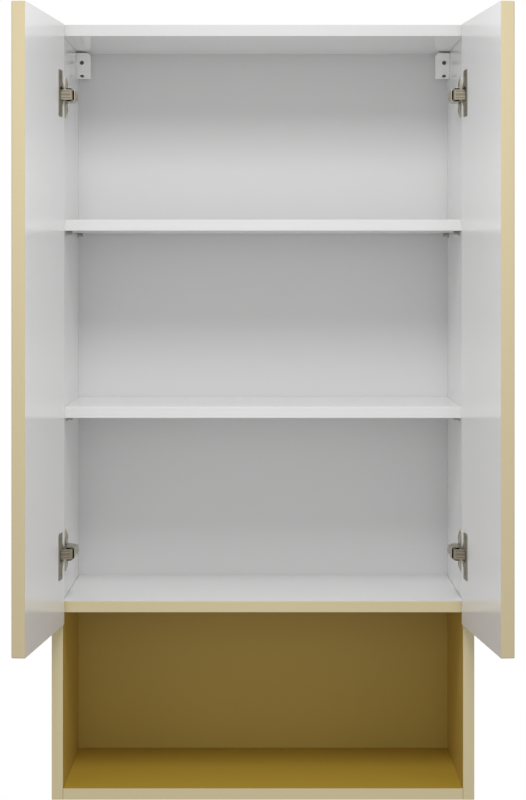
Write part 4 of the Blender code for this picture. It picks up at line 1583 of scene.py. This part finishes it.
@dataclass
class Door:
    """Two flat doors: khaki film outside and round the edges, white inside."""

    shop: Workshop
    hinge: Hinge
    reveal: float = 0.001
    width: float = 0.2974
    thickness: float = 0.018
    eased: float = 0.0016
    film_edge: float = 0.0004
    margin: float = 0.001

    def build(self) -> None:
        """Model and dress both doors."""
        for side in Side:
            self.build_leaf(side)

    def build_leaf(self, side: Side) -> None:
        """Model one door shut, with its cup pockets, and swing it open.

        Args:
            side: The door's side.
        """
        node = f"door_{side.word}"
        low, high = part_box(node)
        centre_z = box_middle(node, Z)
        half = (high.z - low.z) / 2
        inner = -self.hinge.door_gap
        leaf = Bench.block(f"{node}_leaf", (self.reveal, inner - self.thickness, -half),
                           (self.reveal + self.width, inner, half))
        Bench.round_edges(leaf, lambda edge: middle(edge).y < inner - NEAR, self.eased, steps=5)
        Bench.round_edges(leaf, lambda edge: all(vert.co.y > inner - NEAR for vert in edge.verts),
                          self.film_edge, steps=3)
        for z in self.hinge.heights(side).values():
            self.bore_pocket(leaf, inner, -side.value * (z - centre_z))
        Bench.smooth(leaf)

        def choose(place: Vector, normal: Vector) -> int:
            """Give each face its finish.

            Args:
                place: The face's middle.
                normal: Its normal.

            Returns:
                The finish's number.
            """
            if abs(place.y - inner) < NEAR and normal.y > FACING:
                return 1
            in_wood = inner - self.thickness / 2 < place.y < inner - NEAR
            near_cup = abs(place.x - self.hinge.cup_x) < self.hinge.cup_radius + self.margin
            inside = self.reveal + 2 * self.margin < place.x and abs(place.z) < half - 10 * self.margin
            return 2 if in_wood and near_cup and inside else 0

        for face in leaf.data.polygons:
            face.material_index = choose(face.center, face.normal)
        leaf.data.transform(self.shop.open_turn(side) @ self.shop.corner(side, centre_z))
        self.shop.mount(leaf, node, (KHAKI_FACE, WHITE_FACE, RAW_MDF))

    def bore_pocket(self, leaf: Piece, inner: float, z: float) -> None:
        """Bore the pocket of one hinge cup and its two screw holes.

        Args:
            leaf: The door.
            inner: Where its inner face lies.
            z: Height of the hinge.
        """
        hinge = self.hinge
        holes = [(hinge.cup_x, z, hinge.cup_radius + FIT, hinge.cup_depth + FIT, 48)]
        screw_x = hinge.flange_low + hinge.flange_width / 2
        holes += [(screw_x, z + end * hinge.cup_screw_spread / 2, hinge.CUP_SCREW.shank_radius + FIT,
                   hinge.CUP_SCREW.shank_length + FIT, 16) for end in (-1, 1)]
        for x, height, radius, depth, sides in holes:
            Bench.cut(leaf, Bench.rod("pocket", radius, (x, inner - depth, height),
                                      (x, inner + depth, height), sides))


@dataclass
class ShelfPins:
    """Eight turned pins with a collar and a flat seat."""

    shop: Workshop
    radius: float = 0.0025
    sunk: float = 0.0085
    reach: float = 0.009
    collar_radius: float = 0.004
    collar_width: float = 0.0015
    seat: float = 0.0022
    edge: float = 0.0003

    def nodes(self) -> list[str]:
        """Return the nodes of all pins."""
        return [node for node in self.shop.nodes if node.startswith("shelf_pin_")]

    def place(self, node: str) -> Vector:
        """Return where a pin's axis meets its side panel.

        Args:
            node: The pin.

        Returns:
            The place.
        """
        side = Side.LEFT if "_left_" in node else Side.RIGHT
        return Vector((self.shop.inner_face(side), box_middle(node, Y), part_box(node)[1].z - self.seat))

    def bores(self, side: Side) -> list[Bore]:
        """Return the pins' holes in a side.

        Args:
            side: The side.

        Returns:
            The holes.
        """
        places = [self.place(node) for node in self.nodes() if f"_{side.word}_" in node]
        return [Bore(place.y, place.z, self.radius + FIT, self.sunk + FIT) for place in places]

    def build(self) -> None:
        """Model one pin and copy it to its eight places."""
        pin = Bench.rod("pin", self.radius, (-self.sunk, 0, 0), (self.reach, 0, 0), sides=28)
        Bench.join(pin, Bench.rod("collar", self.collar_radius, (FIT / 3, 0, 0),
                                  (FIT / 3 + self.collar_width, 0, 0)))
        room = 2 * self.collar_radius
        Bench.cut(pin, Bench.block("seat", (FIT / 6, -room, self.seat), (2 * self.reach, room, room)))
        Bench.soften(pin, self.edge)
        Bench.smooth(pin)
        for node in self.nodes():
            frame = Matrix.Translation(self.place(node))
            if "_right_" in node:
                frame = frame @ Matrix.Rotation(math.pi, 4, "Z")
            self.shop.mount(Bench.copy(pin, f"{node}_turned", frame), node, (ZINC,))
        Bench.drop(pin)


@dataclass
class Hanger:
    """Two hangers in the top rear corners: a case, a hook and two screws each."""

    shop: Workshop
    width: float = 0.022
    slant_height: float = 0.007
    slant_depth: float = 0.008
    chamfer: float = 0.004
    head_gap: float = 0.0008
    cover: float = 0.0088
    step: float = 0.0008
    lip: float = 0.0030
    slot_depth: float = 0.031
    screw_from_side: float = 0.0087
    screw_below: float = 0.016
    screw_radius: float = 0.0029
    screw_sunk: float = 0.0015
    depth_screw_length: float = 0.018
    lift_screw_length: float = 0.011
    peg_radius: float = 0.005
    peg_length: float = 0.010
    peg_root: float = 0.004
    peg_spread: float = 0.020
    tooth: float = 0.003
    tooth_drop: float = 0.010
    hook_room: float = 0.0058
    hook_gap: float = 0.0007
    hook_edge: float = 0.0004
    case_edge: float = 0.0005
    keel_slope: float = 0.15
    recess_reach: float = 0.75
    recess_width: float = 0.0012
    recess_depth: float = 0.0022
    screw_edge: float = 0.0003

    @staticmethod
    def hook_slot(side: Side) -> Piece:
        """Return the cutter of the slot that a hook passes in the back.

        Args:
            side: The hanger's side.

        Returns:
            The cutter.
        """
        low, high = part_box(f"hanger_hook_{side.word}")
        room = Vector((Hanger.hook_gap, 0.0, Hanger.hook_room))
        drop = Vector((0.0, 0.0, Hanger.tooth_drop))
        return Bench.block("slot", low - room + drop, high + room)

    def pegs(self, side: Side) -> list[tuple[float, float]]:
        """Return the depth and height of a case's two pegs.

        Args:
            side: The hanger's side.

        Returns:
            The pegs' places.
        """
        node = f"hanger_case_{side.word}"
        y, z, half = box_middle(node, Y), box_middle(node, Z), self.peg_spread / 2
        return [(y - half, z + half), (y + half, z - half)]

    def bores(self, side: Side) -> list[Bore]:
        """Return the pegs' holes in a side."""
        return [Bore(y, z, self.peg_radius + FIT, self.peg_length + FIT) for y, z in self.pegs(side)]

    def build(self) -> None:
        """Model and dress both hangers."""
        for side in Side:
            self.build_case(side)
            self.build_hook(side)
            self.build_screws(side)

    def slant(self) -> Vector:
        """Return the outward normal of the slanted lower face."""
        return Vector((0.0, -self.slant_height, -self.slant_depth)).normalized()

    def build_case(self, side: Side) -> None:
        """Model one case: a body under a wider cover, slanted below, with screw bores and a hook slot.

        Args:
            side: The hanger's side.
        """
        node = f"hanger_case_{side.word}"
        low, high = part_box(node)
        wall, inward = self.shop.inner_face(side), -side.value
        near, far = sorted((wall + inward * FIT / 3, wall + inward * self.width))
        top = high.z - self.head_gap
        case = Bench.block(f"{node}_moulding", (near, low.y, low.z), (far, high.y, top))
        edge = (wall, low.y, low.z + self.slant_height)
        Bench.slice_off(case, edge, self.slant())
        keel = (wall, low.y + self.slant_depth, low.z)
        Bench.slice_off(case, keel, (0.0, self.keel_slope, -1.0))
        corner = (wall + inward * (self.width - self.chamfer), low.y, top)
        Bench.slice_off(case, corner, (inward, 0.0, 1.0))
        body = low.y + self.cover + self.step
        Bench.score(case, Y, low.y + self.cover, body)
        with Bench.editing(case, Kind.VERT):
            Bench.pick(case, Kind.VERT, lambda vert: vert.co.y > body - NEAR
                       and abs(vert.co.x - wall) > self.width - self.chamfer - NEAR)
            bpy.ops.transform.translate(value=(-inward * self.lip, 0.0, 0.0))
        for place, axis, length in self.screw_lines(side):
            ends = [place - axis * 2 * CLEAR, place + axis * (self.screw_sunk + length + FIT)]
            Bench.cut(case, Bench.rod("bore", self.screw_radius + FIT, *ends, sides=28))
        hook_low, hook_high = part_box(f"hanger_hook_{side.word}")
        gap, room = self.hook_gap, self.hook_room
        slot = Bench.block("slot", (hook_low.x - gap, high.y - self.slot_depth, hook_low.z - room),
                           (hook_high.x + gap, high.y + CLEAR, hook_high.z + room))
        Bench.cut(case, slot)
        Bench.soften(case, self.case_edge, steps=3, angle=30.0)
        for y, z in self.pegs(side):
            Bench.join(case, Bench.rod("peg", self.peg_radius, (wall - inward * self.peg_length, y, z),
                                       (wall + inward * self.peg_root, y, z), sides=24))
        Bench.smooth(case)
        self.shop.mount(case, node, (CASE_WHITE,))

    def screw_lines(self, side: Side) -> list[tuple[Vector, Vector, float]]:
        """Return the lines of a case's two screws.

        Args:
            side: The hanger's side.

        Returns:
            For the depth screw and the lift screw, its mouth, its way in and its length.
        """
        low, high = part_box(f"hanger_case_{side.word}")
        x = self.shop.inner_face(side) - side.value * self.screw_from_side
        depth = Vector((x, low.y, high.z - self.screw_below))
        lift = Vector((x, low.y + self.slant_depth / 2, low.z + self.slant_height / 2))
        return [(depth, Vector((0.0, 1.0, 0.0)), self.depth_screw_length),
                (lift, -self.slant(), self.lift_screw_length)]

    def build_screws(self, side: Side) -> None:
        """Model one hanger's two adjusting screws, cross-recessed at their mouths.

        Args:
            side: The hanger's side.
        """
        for name, (place, axis, length) in zip(("depth", "lift"), self.screw_lines(side)):
            node = f"hanger_{name}_screw_{side.word}"
            start = place + axis * self.screw_sunk
            screw = Bench.rod(f"{node}_turned", self.screw_radius, (0, 0, 0), (0, 0, -length), sides=24)
            Bench.round_edges(screw, lambda edge: middle(edge).z > -NEAR, self.screw_edge, steps=2)
            Bench.cross(screw, self.recess_reach * self.screw_radius, self.recess_width, self.recess_depth)
            Bench.smooth(screw)
            turn = (-axis).to_track_quat("Z", "Y").to_matrix().to_4x4()
            screw.data.transform(Matrix.Translation(start) @ turn)
            self.shop.mount(screw, node, (SHADED_ZINC,))

    def build_hook(self, side: Side) -> None:
        """Model one flat hook: a shank through the back and a tooth that points down.

        Args:
            side: The hanger's side.
        """
        node = f"hanger_hook_{side.word}"
        low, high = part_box(node)
        bottom = low.z + self.tooth_drop
        hook = Bench.block(f"{node}_flat", (low.x, low.y, bottom), tuple(high))
        tooth_y = high.y - self.tooth
        Bench.score(hook, Y, tooth_y)
        with Bench.editing(hook, Kind.FACE):
            Bench.pick(hook, Kind.FACE, lambda face: face.normal.z < -FACING and middle(face).y > tooth_y)
            bpy.ops.mesh.extrude_region_move(TRANSFORM_OT_translate={"value": (0.0, 0.0, -self.tooth_drop)})
        Bench.soften(hook, self.hook_edge)
        Bench.smooth(hook)
        self.shop.mount(hook, node, (ZINC,))


@dataclass(frozen=True)
class Softbox:
    """A soft rectangular lamp, hidden from the camera."""

    name: str
    place: Point
    aim: Point
    size: Point
    power: float
    mirrored: bool = False

    def hang(self) -> None:
        """Hang the lamp; only a mirrored one shows in glossy faces."""
        data = bpy.data.lights.new(self.name, "AREA")
        data.shape = "RECTANGLE"
        data.size, data.size_y = self.size
        data.energy = self.power
        lamp = add_object(self.name, data)
        lamp.location = self.place
        lamp.rotation_euler = (Vector(self.aim) - Vector(self.place)).to_track_quat("-Z", "Y").to_euler()
        lamp.visible_camera = False
        lamp.visible_glossy = self.mirrored


SOFTBOXES = (
    Softbox("key_softbox", place=(0.0, -1.44, 1.56), aim=(0.0, -1.44, 0.0), size=(0.6, 0.74), power=17.8,
            mirrored=True),
    Softbox("front_softbox", place=(0.0, -3.4, 0.75), aim=(0.0, 0.0, 0.7), size=(1.2, 1.2), power=10.7),
    *(Softbox(f"fill_softbox_{side.word}", place=(1.6 * side.value, -2.6, 0.8), aim=(0.0, 0.0, 0.6),
              size=(0.8, 1.6), power=2.6) for side in Side))


@dataclass
class Studio:
    """Plain studio: a pale floor below, soft lamps in front, and the camera."""

    floor_z: float = -1.0
    floor_radius: float = 3.4
    floor_solid: float = 0.35
    floor_tone: float = 0.86
    mottle_size: float = 0.25
    mottle_tone: float = 0.02
    ambient: float = 0.385
    camera_distance: float = 3.664
    camera_z: float = 0.751
    lens: float = 106.65
    shift_y: float = -0.1616

    def build(self) -> None:
        """Set up the floor, the world, the lamps, the camera and the view."""
        self.lay_floor()
        self.light_world()
        for softbox in SOFTBOXES:
            softbox.hang()
        self.set_camera()
        bpy.context.scene.view_settings.view_transform = "Standard"

    def lay_floor(self) -> None:
        """Lay a round pale floor that fades out at its rim and can't be seen from below."""
        bpy.ops.object.select_all(action="DESELECT")
        bpy.ops.mesh.primitive_circle_add(vertices=96, radius=self.floor_radius, fill_type="NGON",
                                          location=(0.0, 0.0, self.floor_z))
        floor = Bench.settle("studio_floor")
        material = bpy.data.materials.new("pale_floor")
        graph = Graph.fresh(material)
        place = graph.add("TexCoord").outputs["Object"]
        flat = graph.add("VectorMath", {0: place, 1: (1.0, 1.0, 0.0)}, operation="MULTIPLY")
        far = graph.add("VectorMath", {0: flat.outputs[0]}, operation="LENGTH").outputs["Value"]
        rim = graph.add("MapRange", {"Value": far, "From Min": self.floor_solid * self.floor_radius,
                                     "From Max": self.floor_radius}, interpolation_type="SMOOTHSTEP")
        below = graph.add("NewGeometry").outputs["Backfacing"]
        clear = graph.math("MAXIMUM", rim.outputs[0], below)
        mottle = graph.swing(graph.noise(self.mottle_size), self.mottle_tone, 1.0)
        tone = self.floor_tone
        pale = graph.add("BsdfDiffuse", {"Color": graph.tint((tone, tone, tone, 1.0), mottle)})
        through = graph.add("BsdfTransparent")
        mixed = graph.add("MixShader", {0: clear, 1: pale.outputs[0], 2: through.outputs[0]})
        graph.add("OutputMaterial", {"Surface": mixed.outputs[0]})
        floor.data.materials.append(material)

    def light_world(self) -> None:
        """Make a world that looks white and lights the cabinet evenly and faintly."""
        world = bpy.data.worlds.new("studio_world")
        bpy.context.scene.world = world
        graph = Graph.fresh(world)
        path = graph.add("LightPath").outputs
        seen = graph.math("MAXIMUM", path["Is Camera Ray"], path["Is Glossy Ray"])
        seen = graph.math("MAXIMUM", seen, path["Is Transmission Ray"])
        light = graph.add("Background", {"Color": (1.0, 1.0, 1.0, 1.0), "Strength": self.ambient})
        white = graph.add("Background", {"Color": (1.0, 1.0, 1.0, 1.0), "Strength": 1.0})
        mixed = graph.add("MixShader", {0: seen, 1: light.outputs[0], 2: white.outputs[0]})
        graph.add("OutputWorld", {"Surface": mixed.outputs[0]})

    def set_camera(self) -> None:
        """Set the camera level in front of the cabinet, its frame shifted down."""
        data = bpy.data.cameras.new("front_camera")
        data.lens = self.lens
        data.shift_y = self.shift_y
        camera = add_object("front_camera", data)
        camera.location = (0.0, -self.camera_distance, self.camera_z)
        camera.rotation_euler = (math.pi / 2, 0.0, 0.0)
        bpy.context.scene.camera = camera


def main() -> None:
    """Load the frame, build and dress every sub-assembly, and light it."""
    logging.basicConfig(level=logging.INFO, format="%(name)s: %(message)s")
    shop = Workshop(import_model())
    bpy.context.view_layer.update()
    hinge, pins, hanger = Hinge(shop), ShelfPins(shop), Hanger(shop)
    bores = {side: hinge.bores(side) + pins.bores(side) + hanger.bores(side) for side in Side}
    Carcass(shop).build(bores)
    Door(shop, hinge).build()
    hinge.build()
    pins.build()
    hanger.build()
    Studio().build()


if __name__ == "__main__":
    main()
